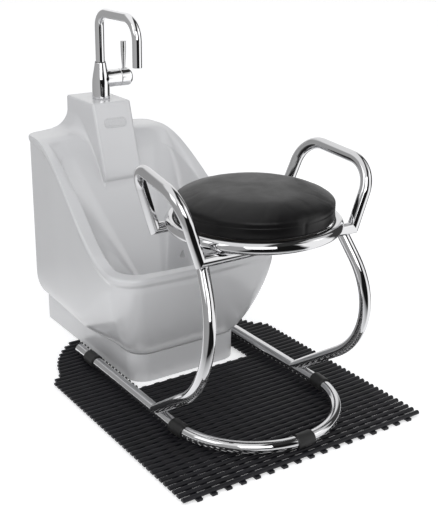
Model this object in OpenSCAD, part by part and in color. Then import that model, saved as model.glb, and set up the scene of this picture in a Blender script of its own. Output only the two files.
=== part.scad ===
// Foot-wash basin with a swan-neck mixer tap, a free-standing tubular seat and a ribbed rubber mat.
// Millimetres. +Z is up, +Y is the back of the basin, -Y is the side the user sits on.
// Lengths named "from_back" are measured forwards from the plane of the basin's back.

/* [Overall] */
// Length of the whole set, from the back of the basin to the front edge of the mat
set_length = 955; // [900:5:1100]

/* [Basin] */
// Depth of the basin, from its back to the front of its rim
basin_depth = 578; // [560:1:600]
// Width of the basin across the back
basin_back_width = 350; // [340:1:370]
// Width of the basin across the front of the rim
basin_front_width = 440; // [420:1:460]
// Radius of the rim's back corners, seen from above
back_corner_r = 30; // [20:1:45]
// Radius of the rim's front corners, seen from above
front_corner_r = 66; // [60:1:95]
// How far the front of the rim bows forwards at its middle
front_bow = 8; // [0:1:14]
// Height of the rim at the front
rim_front_height = 293; // [285:1:310]
// Height of the rim at the back, where it forms the shoulders
rim_back_height = 500; // [490:1:515]
// Rise of the shoulders from their outer edges to the tap column
shoulder_rise = 12; // [6:1:18]
// Where the rim starts to fall, from the back
rim_fall_start = 70; // [50:1:100]
// Where the rim has reached its front height, from the back
rim_fall_end = 490; // [460:1:520]
// Width of the lip along the sides and the front
lip_width = 33; // [28:1:40]
// Depth of the shoulders between the back of the basin and the bowl
shoulder_depth = 135; // [125:1:145]
// Half width of the bowl's mouth at the back
mouth_back_half_width = 158; // [150:1:165]
// Radius that the lip's two edges are rolled over
lip_roll = 7; // [4:0.5:9]
// Height of the lip's outer face, from the top of the rim
lip_face = 17; // [14:0.5:22]
// How far the lip's outer face stands out from the wall below it
lip_overhang = 5; // [2:0.5:7]
// How far the shoulders are rounded down where they meet the bowl
shoulder_round = 20; // [12:1:24]
// Height of the inside floor of the bowl
bowl_floor_height = 110; // [105:1:120]
// Height over which the sides curve in to the plinth
side_belly = 62; // [40:1:80]
// Height over which the front curves in to the plinth
front_belly = 195; // [160:1:210]

/* [Tap column] */
// Width of the column that carries the tap
column_width = 108; // [100:1:116]
// Height of the column's flat top
column_height = 584; // [570:1:600]
// Depth of the column's top, from the back
column_top_depth = 140; // [130:1:150]
// Depth of the column's face at its foot, from the back
column_foot_depth = 193; // [188:1:198]
// Height of the foot of the column's face
column_foot_height = 418; // [405:1:430]
// Radius of the sweep between the column and the shoulders
sweep_r = 42; // [30:1:50]
// Thickness of the column's top
deck_wall = 16; // [12:1:20]
// Thickness of the column's other walls
column_wall = 12; // [10:0.5:15]
// Width of the blank badge plate
badge_w = 62; // [40:1:80]
// Height of the blank badge plate
badge_h = 24; // [16:1:30]
// Thickness of the blank badge plate
badge_t = 1.2; // [0.8:0.1:2]

/* [Plinth] */
// Width of the plinth
plinth_width = 290; // [280:1:300]
// Distance of the plinth's back from the basin's back
plinth_setback = 14; // [8:1:20]
// Depth of the plinth
plinth_depth = 478; // [470:1:485]
// Height of the plinth
plinth_height = 70; // [66:1:74]
// Radius of the plinth's front corners
plinth_front_r = 45; // [30:1:55]
// Radius of the plinth's back corners
plinth_back_r = 20; // [15:1:28]
// Wall of the plinth
plinth_wall = 14; // [10:1:18]
// Step between the plinth and the bowl's underside
plinth_reveal = 4; // [2:0.5:7]
// Gap around the waste pipe in the plinth's back
plinth_pipe_gap = 4; // [2:0.5:8]

/* [Waste] */
// Distance of the waste from the plinth's front
waste_from_front = 107; // [95:1:120]
// Diameter of the waste flange in the bowl
waste_flange_d = 70; // [66:1:76]
// Outer diameter of the threaded waste tail
waste_tail_d = 45; // [42:1:48]
// Bore of the waste tail
waste_bore_d = 38; // [34:1:39]
// Floor thickness that the waste clamps on
waste_seat_t = 12; // [8:1:16]
// Diameter of the pop-up plug's cap
plug_d = 62; // [58:1:64]
// Travel of the pop-up plug
plug_travel = 8; // [5:1:12]
// Diameter of the low trap below the waste
trap_d = 96; // [86:1:104]
// Height of the trap's body
trap_h = 40; // [36:1:42]
// Outer diameter of the waste pipe
waste_pipe_d = 32; // [28:1:34]

/* [Tap] */
// Distance of the tap from the back
tap_from_back = 84; // [76:1:92]
// Diameter of the tap body at its base
tap_base_d = 45; // [42:1:48]
// Diameter of the tap body at its neck
tap_neck_d = 28; // [27:0.5:31]
// Height of the tap body
tap_body_h = 90; // [86:1:100]
// Outer diameter of the spout tube
spout_d = 23; // [21:0.5:24]
// Wall of the spout tube
spout_wall = 1.5; // [1:0.25:2]
// Height of the spout's top centreline above the column
spout_rise = 211; // [200:1:220]
// Reach of the spout
spout_reach = 183; // [160:1:190]
// Height of the outlet above the column
outlet_rise = 129; // [120:1:138]
// Bend radius at the back of the spout
spout_back_bend = 34; // [30:1:40]
// Bend radius at the front of the spout
spout_front_bend = 50; // [40:1:60]
// Diameter of the mixer housing at the side of the tap
mixer_d = 44; // [40:1:46]
// Height of the mixer housing's axis above the column
mixer_rise = 48; // [44:1:52]
// Distance from the tap's axis to the joint of the mixer cap
mixer_reach = 50; // [47:1:56]
// Length of the mixer cap
mixer_cap_l = 34; // [31:1:38]
// Diameter of the lever's grip
lever_d = 14; // [12:0.5:16]
// Height of the lever's top above the mixer's axis
lever_h = 90; // [80:1:96]
// Tilt of the lever from closed to fully open
lever_swing = 25; // [15:1:28]
// Length of the mixer's cartridge
cartridge_l = 34; // [30:1:36]
// Diameter of the threaded shank below the column's top
shank_d = 33; // [30:0.5:34]
// Bore of the threaded shank
shank_bore_d = 25; // [23:0.5:27]
// Radial clearance of the shank in its hole
shank_clearance = 1; // [0.5:0.25:1.5]
// Diameter of the copper supply pipes
supply_d = 10; // [8:1:12]

/* [Seat frame] */
// Outer diameter of the chromed frame tube
tube_d = 25; // [24:0.5:27]
// Wall of the frame tube
tube_wall = 1.5; // [1:0.25:2.5]
// Distance of the seat's centre from the basin's back
seat_from_back = 734; // [724:1:744]
// Radius of the floor ring's front, to the tube's centre
floor_ring_r = 190; // [186:1:196]
// Distance of the rails' back ends from the basin's back
rail_end_from_back = 300; // [280:1:330]
// Outer diameter of the rubber sleeves that the frame stands on
sleeve_d = 32; // [30:0.5:36]
// Length of a rubber sleeve
sleeve_l = 38; // [32:1:50]
// Distance that the legs start behind the seat's centre
leg_foot_back = 80; // [70:1:90]
// Rise of the legs' lower straights
leg_rise_angle = 34.3; // [33:0.1:36]
// Distance of the legs behind the front cross tube, at its height
leg_offset = 23.5; // [22:0.1:24.5]
// Bend radius of the legs
leg_bend_r = 175; // [165:1:182]
// Turn of the legs' bend
leg_bend_angle = 90.4; // [88:0.1:92]
// Angle that the legs splay outwards, seen from above
leg_splay = 8.5; // [7.5:0.1:9.5]
// Angle that the legs lean inwards, seen from the front
leg_lean = 5.6; // [5:0.1:6.5]
// Height of the seat ring's centre
seat_ring_height = 445; // [442:1:448]
// Radius of the seat ring, to the tube's centre
seat_ring_r = 170; // [167:1:173]
// How deep the seat ring is seated in the cross tubes
ring_saddle = 1; // [0.5:0.25:2]
// Half length of the front cross tube, to the corner
front_cross_half = 190; // [186:1:194]
// Distance of the front cross tube before the seat's centre
front_cross_offset = 89; // [86:1:93]
// Half length of the back cross tube, to the corner
back_cross_half = 162; // [158:1:166]
// Distance of the back cross tube behind the seat's centre
back_cross_offset = 123; // [118:1:127]

/* [Grips] */
// Rise of a grip's back corner above the cross tube, in the grip's own plane
grip_back_rise = 158; // [148:1:168]
// Rise of a grip's front corner above the cross tube, in the grip's own plane
grip_front_rise = 135; // [125:1:145]
// Angle that the back of a grip leans forwards
grip_back_lean = 8.3; // [5:0.1:10]
// Angle that the front of a grip leans forwards
grip_front_lean = 3.2; // [1:0.1:5]
// Bend radius at the front of a grip
grip_front_bend = 62; // [52:1:68]
// Bend radius at the back of a grip
grip_back_bend = 57; // [48:1:64]
// Angle that the grips tilt outwards
grip_tilt = 19; // [16:0.5:22]

/* [Seat] */
// Radius of the cushion
cushion_r = 166; // [160:1:168]
// Height of the cushion's side band
cushion_band = 25; // [20:1:32]
// Crown of the cushion above its side band
cushion_crown = 36; // [26:1:42]
// How far the side band is drawn in at its middle
cushion_draw = 2.5; // [1:0.5:4]
// Radius of the piping around the top of the band
piping_r = 2.2; // [1.5:0.1:3]
// Radius of the plywood seat board
board_r = 148; // [130:1:152]
// Thickness of the plywood seat board
board_t = 10; // [9:0.5:11]
// Side of the square swivel plates
swivel_side = 130; // [110:1:150]
// Thickness of the swivel plates
swivel_t = 3; // [2:0.25:3.5]
// Diameter of the swivel's balls
ball_d = 5; // [4:0.5:5.5]
// Number of balls in the swivel
ball_n = 16; // [10:1:20]
// Radius of the ring of balls
ball_ring_r = 42; // [36:1:46]
// Width of the bridge plate under the swivel
bridge_w = 134; // [120:1:150]
// Thickness of the bridge plate
bridge_t = 3; // [2.5:0.25:3.5]
// Diameter of the swivel's centre pin
pivot_d = 12; // [10:0.5:14]
// Gap between parts that turn or slide on each other
running_gap = 0.05; // [0.02:0.01:0.1]
// Gap between soft parts and what carries them
soft_gap = 0.3; // [0.2:0.05:0.5]

/* [Mat] */
// Width of the mat
mat_width = 612; // [600:1:630]
// Depth of the mat's full-width part, from its front edge
mat_square_l = 562; // [550:1:575]
// Depth of the mat's rounded arms beside the basin
mat_arm_l = 175; // [160:1:185]
// How much narrower each side gets where its arm starts
mat_notch_w = 32; // [20:1:40]
// Length over which each side narrows
mat_notch_l = 29; // [20:1:40]
// Radius of the arms' rounded outer edges
mat_arm_r = 238; // [225:1:260]
// How far the lower bars stand out in front of the first rib
bar_out = 5; // [2:0.5:8]
// Gap between the mat and the plinth at the sides
mat_side_gap = 9; // [6:1:14]
// Gap between the mat and the plinth at the front
mat_front_gap = 20; // [12:1:26]
// Height of the lower bars
bar_h = 5; // [4:0.5:6]
// Width of the lower bars
bar_w = 12; // [9:0.5:14]
// Pitch of the lower bars
bar_pitch = 34; // [30:0.5:38]
// Height of the upper ribs
rib_h = 7; // [6:0.5:8]
// Width of the upper ribs
rib_w = 10.5; // [9:0.5:12]
// Pitch of the upper ribs
rib_pitch = 16; // [15:0.5:18]

/* [Hidden] */

$fn = 64;
eps = 0.01;
// Joints inside a bent tube: length, inset and lip of the inner collar, and the hairline beside it.
collar_l = 4;
collar_inset = 0.5;
collar_lip = 0.3;
hairline = 0.02;
back_y = set_length / 2;
mat_h = bar_h + rib_h;

// Y of a point given by its distance from the basin's back.
function from_back(d) = back_y - d;
function mix(a, b, t) = a + (b - a) * t;
function clamp01(t) = min(max(t, 0), 1);
// Rises smoothly from 0 to 1 while t goes from 0 to 1.
function smooth(t) = let (c = clamp01(t)) c * c * (3 - 2 * c);

// ---------------------------------------------------------------- bent tubes

// Straight tube of outer diameter d along +X.
module pipe(d, wall, l) {
    rotate([0, 90, 0])
        ring(d, d - 2 * wall, l);
}

// Short inner collar that joins two lengths of tube at the origin.
module joint_collar(d, wall) {
    translate([-collar_l / 2, 0, 0])
        pipe(d - 2 * collar_inset, wall - collar_inset + collar_lip, collar_l);
}

// Bent tube that starts at the origin and runs along +X.
// Each step is [straight length, radius of the bend to the left that follows it, angle of the bend].
// The two ends run on by the length extra.
module bent_tube(steps, d, wall, extra = 0, i = 0) {
    last = i == len(steps) - 1;
    l = steps[i][0];
    bend = steps[i][1];
    turn = steps[i][2];
    head = i == 0 ? -extra : hairline;
    tail = last ? extra : -hairline;
    translate([head, 0, 0])
        pipe(d, wall, l + tail - head);
    if (!last) {
        translate([l, 0, 0])
            joint_collar(d, wall);
        translate([l, bend, 0])
            rotate([0, 0, -90])
                rotate_extrude(angle = turn)
                    translate([bend, 0])
                        difference() {
                            circle(d = d);
                            circle(d = d - 2 * wall);
                        }
        translate([l + bend * sin(turn), bend * (1 - cos(turn)), 0])
            rotate([0, 0, turn]) {
                joint_collar(d, wall);
                bent_tube(steps, d, wall, extra, i + 1);
            }
    }
}

// Block of size s that fills the space above z = 0, centred on the origin.
module half_space(s = 400) {
    translate([-s / 2, -s / 2, 0])
        cube(s);
}

// --------------------------------------------------------------------- basin

BACK_STEPS = 5;
CORNER_STEPS = 5;
SIDE_STEPS = 12;
FRONT_STEPS = 5;

// Right half of a rounded outline, from the middle of its back to the middle of its front.
// Points are [x, distance from the back].
function half_outline(back_half, front_half, back, front, back_r, front_r, bow) = concat(
    [for (i = [0 : BACK_STEPS - 1]) [(back_half - back_r) * i / BACK_STEPS, back]],
    [for (i = [0 : CORNER_STEPS - 1])
        let (a = 90 * i / CORNER_STEPS)
        [back_half - back_r + back_r * sin(a), back + back_r - back_r * cos(a)]],
    [for (i = [0 : SIDE_STEPS - 1])
        let (t = i / SIDE_STEPS)
        [mix(back_half, front_half, t), mix(back + back_r, front - front_r, t)]],
    [for (i = [0 : CORNER_STEPS - 1])
        let (a = 90 * i / CORNER_STEPS)
        [front_half - front_r + front_r * cos(a), front - front_r + front_r * sin(a)]],
    [for (i = [0 : FRONT_STEPS])
        let (t = 1 - i / FRONT_STEPS)
        [(front_half - front_r) * t, front + bow * (1 - t * t)]]);

// Closes a half outline with its mirror image.
function whole_outline(half) = concat(half,
    [for (i = [len(half) - 2 : -1 : 1]) [-half[i][0], half[i][1]]]);

rim_front_depth = basin_depth - front_bow;
waste_from_back = plinth_setback + plinth_depth - waste_from_front;
rim_outline = whole_outline(half_outline(basin_back_width / 2, basin_front_width / 2,
    0, rim_front_depth, back_corner_r, front_corner_r, front_bow));
mouth_outline = whole_outline(half_outline(mouth_back_half_width, basin_front_width / 2 - lip_width - 2,
    shoulder_depth, rim_front_depth - lip_width, back_corner_r + 15, front_corner_r - lip_width / 2,
    front_bow));
// Outline of the wall just below the lip.
wall_outline = whole_outline(half_outline(basin_back_width / 2 - lip_overhang,
    basin_front_width / 2 - lip_overhang, 0, rim_front_depth - lip_overhang,
    back_corner_r - lip_overhang, front_corner_r - lip_overhang, front_bow));
foot_half = plinth_width / 2 - plinth_reveal;
foot_outline = whole_outline(half_outline(foot_half, foot_half, plinth_setback + plinth_reveal,
    plinth_setback + plinth_depth - plinth_reveal, plinth_back_r, plinth_front_r, 0));
LOOP = len(rim_outline);

function rim_z(d) = mix(rim_back_height, rim_front_height,
    smooth((d - rim_fall_start) / (rim_fall_end - rim_fall_start)));
// Height of the lip and the shoulders at p: the shoulders rise towards the column.
function lip_z(p) = rim_z(p[1]) + shoulder_rise * (1 - smooth(2 * abs(p[0]) / basin_back_width))
    * (1 - smooth(p[1] / (1.4 * shoulder_depth)));

// How much a point at distance d belongs to the front of the bowl.
function frontness(d) = smooth((d - 0.5 * basin_depth) / (0.42 * basin_depth));

// Share of the way from the plinth's outline to the rim's outline at height h above the plinth.
function belly(h, d) =
    let (full = mix(side_belly, front_belly, frontness(d)),
         power = mix(2, 1.35, frontness(d)),
         rest = 1 - min(1, h / full))
    pow(1 - pow(rest, power), 1 / power);

OUTER_LEVELS = 10;
function outer_ring(j) = [for (i = [0 : LOOP - 1])
    let (wall = wall_outline[i],
         foot = foot_outline[i],
         h = (lip_z(wall) - lip_face - 2 - plinth_height) * pow(j / OUTER_LEVELS, 1.5),
         s = belly(h, wall[1]),
         p = mix(foot, wall, s))
    [p[0], from_back(p[1]), plinth_height + h]];

// The lip's outer face, at the depth drop below the rim.
function lip_face_ring(drop) = [for (rim = rim_outline)
    [rim[0], from_back(rim[1]), lip_z(rim) - drop]];

// How much a point of the mouth belongs to the slope at the back of the bowl.
function backness(d) = 1 - smooth((d - shoulder_depth) / (1.3 * shoulder_depth));
// How far the edge of the mouth lies below the rim.
function mouth_drop(d) = mix(lip_roll, shoulder_round, backness(d));

// How much of its edges' rounding the lip has fallen by at the share s of the way from its outer
// edge to the mouth: the outer roll, the inner roll, and the shoulders' long inner rounding.
function outer_share(s) = lookup(s, [[0, 1], [0.05, 0.3], [0.2, 0]]);
function inner_share(s) = lookup(s, [[0.8, 0], [0.95, 0.3], [1, 1]]);
function shoulder_share(s) = lookup(s, [[0.45, 0], [0.8, 0.3], [0.95, 0.76], [1, 1]]);
function lip_drop(s, back) = lip_roll * outer_share(s)
    + mix(lip_roll * inner_share(s), shoulder_round * shoulder_share(s), back);
function lip_ring(s) = [for (i = [0 : LOOP - 1])
    let (p = mix(rim_outline[i], mouth_outline[i], s))
    [p[0], from_back(p[1]), mix(lip_z(rim_outline[i]), lip_z(mouth_outline[i]), s)
        - lip_drop(s, backness(mouth_outline[i][1]))]];

BOWL_LEVELS = 14;
SLOPE_ROUND = 0.08;
WALL_POWER = 2.6;
// Height share of the bowl's wall at share k of the way out from the waste:
// a straight slope at the back and an upright wall with a round foot elsewhere.
function slope_rise(k) = (1 + SLOPE_ROUND) * k * k / (k + SLOPE_ROUND);
function wall_rise(k) = 1 - pow(1 - pow(k, WALL_POWER), 1 / WALL_POWER);
function bowl_ring(j) =
    let (k = cos(90 * j / BOWL_LEVELS))
    [for (i = [0 : LOOP - 1])
        let (mouth = mouth_outline[i],
             rise = mix(wall_rise(k), slope_rise(k), backness(mouth[1])),
             p = mix([0, waste_from_back], mouth, k),
             top = lip_z(mouth) - mouth_drop(mouth[1]))
        [p[0], from_back(p[1]), mix(bowl_floor_height, top, rise)]];

body_rings = concat(
    [for (j = [0 : OUTER_LEVELS]) outer_ring(j)],
    [lip_face_ring(lip_face), lip_face_ring(lip_roll)],
    [for (s = [0.05, 0.2, 0.45, 0.8, 0.95]) lip_ring(s)],
    [for (j = [0 : BOWL_LEVELS - 1]) bowl_ring(j)]);
RINGS = len(body_rings);
body_points = concat([for (r = body_rings) each r],
    [[0, from_back(basin_depth / 2), plinth_height], [0, from_back(waste_from_back), bowl_floor_height]]);
body_faces = concat(
    [for (r = [0 : RINGS - 2], i = [0 : LOOP - 1])
        let (n = (i + 1) % LOOP)
        each [[r * LOOP + i, (r + 1) * LOOP + n, (r + 1) * LOOP + i],
              [r * LOOP + i, r * LOOP + n, (r + 1) * LOOP + n]]],
    [for (i = [0 : LOOP - 1]) [RINGS * LOOP, (i + 1) % LOOP, i]],
    [for (i = [0 : LOOP - 1])
        [RINGS * LOOP + 1, (RINGS - 1) * LOOP + i, (RINGS - 1) * LOOP + (i + 1) % LOOP]]);

// Prism across the basin: points are [distance from the back, height].
module cross_prism(pts, w) {
    translate([-w / 2, back_y, 0])
        rotate([90, 0, 90])
            linear_extrude(w)
                polygon([for (p = pts) [-p[0], p[1]]]);
}

face_slope = (column_foot_depth - column_top_depth) / (column_height - column_foot_height);
// Depth of the column's face at height z.
function face_depth(z) = column_top_depth + (column_height - z) * face_slope;
column_root = column_foot_height - 18;

module column() {
    cross_prism([[0, column_root], [0, column_height], [column_top_depth, column_height],
        [column_foot_depth, column_foot_height], [column_foot_depth - 20, column_foot_height - 8],
        [shoulder_depth, column_root]], column_width);
    for (m = [0, 1])
        mirror([m, 0, 0])
            column_sweep();
}

// Height of the right shoulder at x and depth d.
function shoulder_z(x, d) = lip_z([x, d]) - lip_drop(d / shoulder_depth, 1);

SWEEP_ROWS = 10;
SWEEP_ARC = 6;
SWEEP_SINK = 1;
// The sweep starts this far inside the column's side.
SWEEP_BITE = 0.5;
sweep_depth = shoulder_depth - 4;
// The sweep gets tighter towards the bowl and ends inside the column.
function sweep_radius(d) =
    mix(sweep_r, 0.6 * SWEEP_BITE, smooth((d - 0.35 * sweep_depth) / (0.65 * sweep_depth)));
// Rows of the sweep from the back forwards: its concave face out to the shoulder, then its underside.
function sweep_row(i) =
    let (d = sweep_depth * i / SWEEP_ROWS,
         r = sweep_radius(d),
         arc = [for (j = [0 : SWEEP_ARC])
             let (a = 90 * j / SWEEP_ARC,
                  x = column_width / 2 - SWEEP_BITE + r * (1 - cos(a)))
             [x, from_back(d), shoulder_z(x, d) + r * (1 - sin(a)) - SWEEP_SINK * j / SWEEP_ARC]],
         inner_x = column_width / 2 - 4,
         low = shoulder_z(column_width / 2 + r, d) - 12)
    concat([[inner_x, from_back(d), arc[0][2]]], arc,
        [[column_width / 2 + r, from_back(d), low], [inner_x, from_back(d), low]]);
SWEEP_LOOP = SWEEP_ARC + 4;

// Concave fillet between the column's side and a shoulder.
module column_sweep() {
    polyhedron(points = [for (i = [0 : SWEEP_ROWS]) each sweep_row(i)], convexity = 4,
        faces = concat(
            [[for (j = [SWEEP_LOOP - 1 : -1 : 0]) j],
                [for (j = [0 : SWEEP_LOOP - 1]) SWEEP_ROWS * SWEEP_LOOP + j]],
            [for (i = [0 : SWEEP_ROWS - 1], j = [0 : SWEEP_LOOP - 1])
                let (n = (j + 1) % SWEEP_LOOP, a = i * SWEEP_LOOP, b = a + SWEEP_LOOP)
                each [[a + j, b + n, b + j], [a + j, a + n, b + n]]]));
}

bay_wall = 2 * column_wall + 4;
// Hollow of the column and service bay behind the bowl, both open at the back.
module service_bay() {
    top = column_height - deck_wall;
    low = column_foot_height + 30;
    cross_prism([[-1, low], [-1, top], [face_depth(top) - column_wall - 4, top],
        [face_depth(low) - column_wall - 4, low]], column_width - 2 * column_wall);
    bay_top = rim_back_height - bay_wall;
    bay_front = waste_from_back - trap_d + 3;
    cross_prism([[-1, plinth_height - 1], [-1, bay_top], [shoulder_depth - bay_wall, bay_top],
        [bay_front, bowl_floor_height + trap_d], [bay_front, plinth_height - 1]],
        plinth_width - 2 * (bay_wall - 1));
}

waste_seat_z = bowl_floor_height - 0.5;
waste_recess_z = waste_seat_z - waste_seat_t;
module basin_shell() {
    color("white")
        difference() {
            union() {
                polyhedron(points = body_points, faces = body_faces, convexity = 6);
                column();
            }
            service_bay();
            at_tap()
                translate([0, 0, -deck_wall - 1])
                    cylinder(d = shank_d + 2 * shank_clearance, h = deck_wall + 2);
            at_waste() {
                translate([0, 0, plinth_height - 1])
                    cylinder(r = 75, h = waste_recess_z - plinth_height + 1);
                cylinder(d = waste_tail_d + 2, h = bowl_floor_height + 20);
                translate([0, 0, waste_seat_z])
                    cylinder(d = waste_flange_d + 3, h = 30);
            }
        }
}

module plinth_outline(inset) {
    w = plinth_width - 2 * inset;
    back = from_back(plinth_setback) - inset;
    front = from_back(plinth_setback + plinth_depth) + inset;
    fr = plinth_front_r - inset;
    br = plinth_back_r - inset;
    translate([-w / 2, front + fr])
        square([w, back - front - fr - br]);
    translate([-w / 2 + fr, front])
        square([w - 2 * fr, fr + 1]);
    translate([-w / 2 + br, back - br - 1])
        square([w - 2 * br, br + 1]);
    for (s = [-1, 1]) {
        translate([s * (w / 2 - fr), front + fr])
            circle(r = fr);
        translate([s * (w / 2 - br), back - br])
            circle(r = br);
    }
}

module plinth() {
    color("white")
        difference() {
            linear_extrude(plinth_height)
                plinth_outline(0);
            translate([0, 0, -1])
                linear_extrude(plinth_height + 2)
                    plinth_outline(plinth_wall);
            translate([-trap_d / 2, from_back(plinth_setback + plinth_wall + 1), -1])
                cube([trap_d, plinth_wall + 2, pipe_z + waste_pipe_d / 2 + plinth_pipe_gap + 1]);
        }
}

// Blank plate on the column's sloping face, where a badge would be.
module badge_plate() {
    z = column_height - 48;
    color("whitesmoke")
        translate([0, from_back(face_depth(z)), z])
            rotate([atan(face_slope) * -1, 0, 0])
                rotate([90, 0, 0])
                    translate([-badge_w / 2, -badge_h / 2, 0])
                        cube([badge_w, badge_h, badge_t]);
}

// --------------------------------------------------------------------- waste

module at_waste() {
    translate([0, from_back(waste_from_back), 0])
        children();
}

flange_t = 3;
tail_bottom = waste_recess_z - 28;
plug_stem_d = 8;
spider_z = waste_seat_z - 20;

module waste_flange() {
    color("silver")
        at_waste() {
            difference() {
                union() {
                    translate([0, 0, waste_seat_z])
                        cylinder(d1 = waste_flange_d, d2 = waste_flange_d - 4, h = flange_t);
                    translate([0, 0, tail_bottom])
                        cylinder(d = waste_tail_d, h = waste_seat_z - tail_bottom + eps);
                }
                translate([0, 0, tail_bottom - 1])
                    cylinder(d = waste_bore_d, h = 80);
            }
            difference() {
                union() {
                    for (a = [0, 60, 120])
                        rotate([0, 0, a])
                            translate([-waste_bore_d / 2 - 1, -1.5, spider_z])
                                cube([waste_bore_d + 2, 3, 6]);
                    translate([0, 0, spider_z])
                        cylinder(d = plug_stem_d + 6, h = 6);
                }
                translate([0, 0, spider_z - 1])
                    cylinder(d = plug_stem_d + 2 * running_gap, h = 8);
            }
        }
}

module waste_plug() {
    base = waste_seat_z + flange_t + 0.1;
    color("silver")
        at_waste() {
            translate([0, 0, base])
                rotate_extrude()
                    polygon([[0, 0], [plug_d / 2 - 2, 0], [plug_d / 2, 1.5], [plug_d / 2 - 3, 4],
                        [plug_d / 4, 6.2], [0, 7]]);
            translate([0, 0, spider_z - plug_travel - 6])
                cylinder(d = plug_stem_d, h = base - spider_z + plug_travel + 7);
        }
}

module waste_seal() {
    color("dimgray")
        at_waste()
            translate([0, 0, waste_recess_z - 3])
                ring(waste_tail_d + 18, waste_tail_d + 2 * running_gap, 3);
}

module waste_nut() {
    color("silver")
        at_waste()
            translate([0, 0, waste_recess_z - 11])
                ring(waste_tail_d + 15, waste_tail_d + 2 * running_gap, 8);
}

module ring(outer, inner, h) {
    difference() {
        cylinder(d = outer, h = h);
        translate([0, 0, -1])
            cylinder(d = inner, h = h + 2);
    }
}

trap_top = tail_bottom - 6;
trap_bottom = trap_top - trap_h;
pipe_z = trap_bottom + trap_h / 2;
module trap_body() {
    color("whitesmoke")
        at_waste()
            difference() {
                union() {
                    translate([0, 0, trap_bottom])
                        cylinder(d = trap_d, h = trap_h);
                    translate([0, 0, trap_top - eps])
                        cylinder(d = waste_tail_d, h = tail_bottom - trap_top + eps);
                    translate([0, 0, pipe_z])
                        rotate([-90, 0, 0])
                            cylinder(d = waste_pipe_d + 8, h = trap_d / 2 + 22);
                }
                translate([0, 0, trap_bottom + 3])
                    cylinder(d = trap_d - 6, h = trap_h - 6);
                translate([0, 0, trap_top - 4])
                    cylinder(d = waste_bore_d, h = 20);
                translate([0, 0, pipe_z])
                    rotate([-90, 0, 0])
                        cylinder(d = waste_pipe_d - 4, h = trap_d / 2 + 40);
                translate([0, trap_d / 2 + 4, pipe_z])
                    rotate([-90, 0, 0])
                        cylinder(d = waste_pipe_d + 2 * running_gap, h = 40);
            }
}

module trap_nut() {
    color("whitesmoke")
        at_waste()
            translate([0, 0, tail_bottom - 5])
                ring(waste_tail_d + 12, waste_tail_d + 2 * running_gap, 12);
}

module waste_pipe() {
    start = from_back(waste_from_back) + trap_d / 2 + 4;
    color("whitesmoke")
        translate([0, start, pipe_z])
            rotate([-90, 0, 0])
                ring(waste_pipe_d, waste_pipe_d - 4, back_y - 2 - start);
}

// ----------------------------------------------------------------------- tap

module at_tap() {
    translate([0, from_back(tap_from_back), column_height])
        children();
}

gasket_t = 1.5;
spigot_l = 22;
spout_r = spout_d / 2;
lever_x = mixer_reach + mixer_cap_l * 0.45;

module tap_gasket() {
    color("dimgray")
        at_tap()
            ring(tap_base_d - 1, shank_d + 2 * running_gap, gasket_t);
}

module tap_body() {
    base_r = tap_base_d / 2;
    neck_r = tap_neck_d / 2;
    color("silver")
        at_tap()
            difference() {
                union() {
                    rotate_extrude()
                        polygon([[0, gasket_t], [base_r, gasket_t], [base_r, 0.36 * tap_body_h],
                            [mix(neck_r, base_r, 0.9), 0.52 * tap_body_h],
                            [mix(neck_r, base_r, 0.62), 0.68 * tap_body_h],
                            [mix(neck_r, base_r, 0.25), 0.85 * tap_body_h],
                            [neck_r, tap_body_h], [0, tap_body_h]]);
                    translate([0, 0, mixer_rise])
                        rotate([0, 90, 0])
                            cylinder(d = mixer_d, h = mixer_reach);
                }
                translate([0, 0, tap_body_h - spigot_l])
                    cylinder(r = spout_r + running_gap, h = spigot_l + 1);
                translate([0, 0, gasket_t - 1])
                    cylinder(r = spout_r - 4, h = tap_body_h);
                translate([mixer_reach - cartridge_l, 0, mixer_rise])
                    rotate([0, 90, 0])
                        cylinder(d = mixer_d - 6, h = cartridge_l + 6);
                translate([0, 0, mixer_rise])
                    rotate([0, 90, 0])
                        cylinder(d = 12, h = mixer_reach);
            }
}

module tap_shank() {
    color("goldenrod")
        at_tap()
            translate([0, 0, -deck_wall - 30])
                ring(shank_d, shank_bore_d, deck_wall + 30 + gasket_t);
}

module tap_washer() {
    color("dimgray")
        at_tap()
            translate([0, 0, -deck_wall - 4])
                ring(shank_d + 20, shank_d + 2 * running_gap, 4);
}

module tap_nut() {
    color("goldenrod")
        at_tap()
            translate([0, 0, -deck_wall - 14])
                difference() {
                    cylinder(d = shank_d + 14, h = 10, $fn = 6);
                    translate([0, 0, -1])
                        cylinder(d = shank_d + 2 * running_gap, h = 12);
                }
}

supply_x = 7.6;
supply_end_z = 150;
module supply_pair() {
    for (s = [-1, 1])
        translate([s * supply_x, from_back(tap_from_back), 0])
            children();
}

module supply_pipes() {
    top = column_height + gasket_t;
    color("peru")
        supply_pair()
            translate([0, 0, supply_end_z])
                ring(supply_d - 3, supply_d - 5, top - supply_end_z);
}

module supply_nuts() {
    color("goldenrod")
        supply_pair()
            translate([0, 0, supply_end_z - 6])
                ring(supply_d + 4, supply_d - 3 + 2 * running_gap, 16);
}

cartridge_d = mixer_d - 6 - 2 * running_gap;
cartridge_stem_d = 9;
module mixer_cartridge() {
    color("lightgray")
        at_tap()
            translate([mixer_reach - cartridge_l, 0, mixer_rise])
                rotate([0, 90, 0]) {
                    ring(cartridge_d, 12, cartridge_l - 0.5);
                    translate([0, 0, cartridge_l - 14])
                        cylinder(d = cartridge_stem_d, h = 14 + lever_x - mixer_reach - knuckle_d / 2 - 1);
                    translate([0, 0, cartridge_l - 14])
                        cylinder(d = 12 + eps, h = 4);
                }
}

cap_gap = 0.6;
knuckle_d = 12;
knuckle_l = 10;
lever_neck_d = 8;
slot_clearance = 0.4;

// Barrel across the mixer's axis that the lever tilts on, at the origin.
module knuckle(gap) {
    rotate([90, 0, 0])
        cylinder(d = knuckle_d + 2 * gap, h = knuckle_l + 2 * gap, center = true);
}

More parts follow.
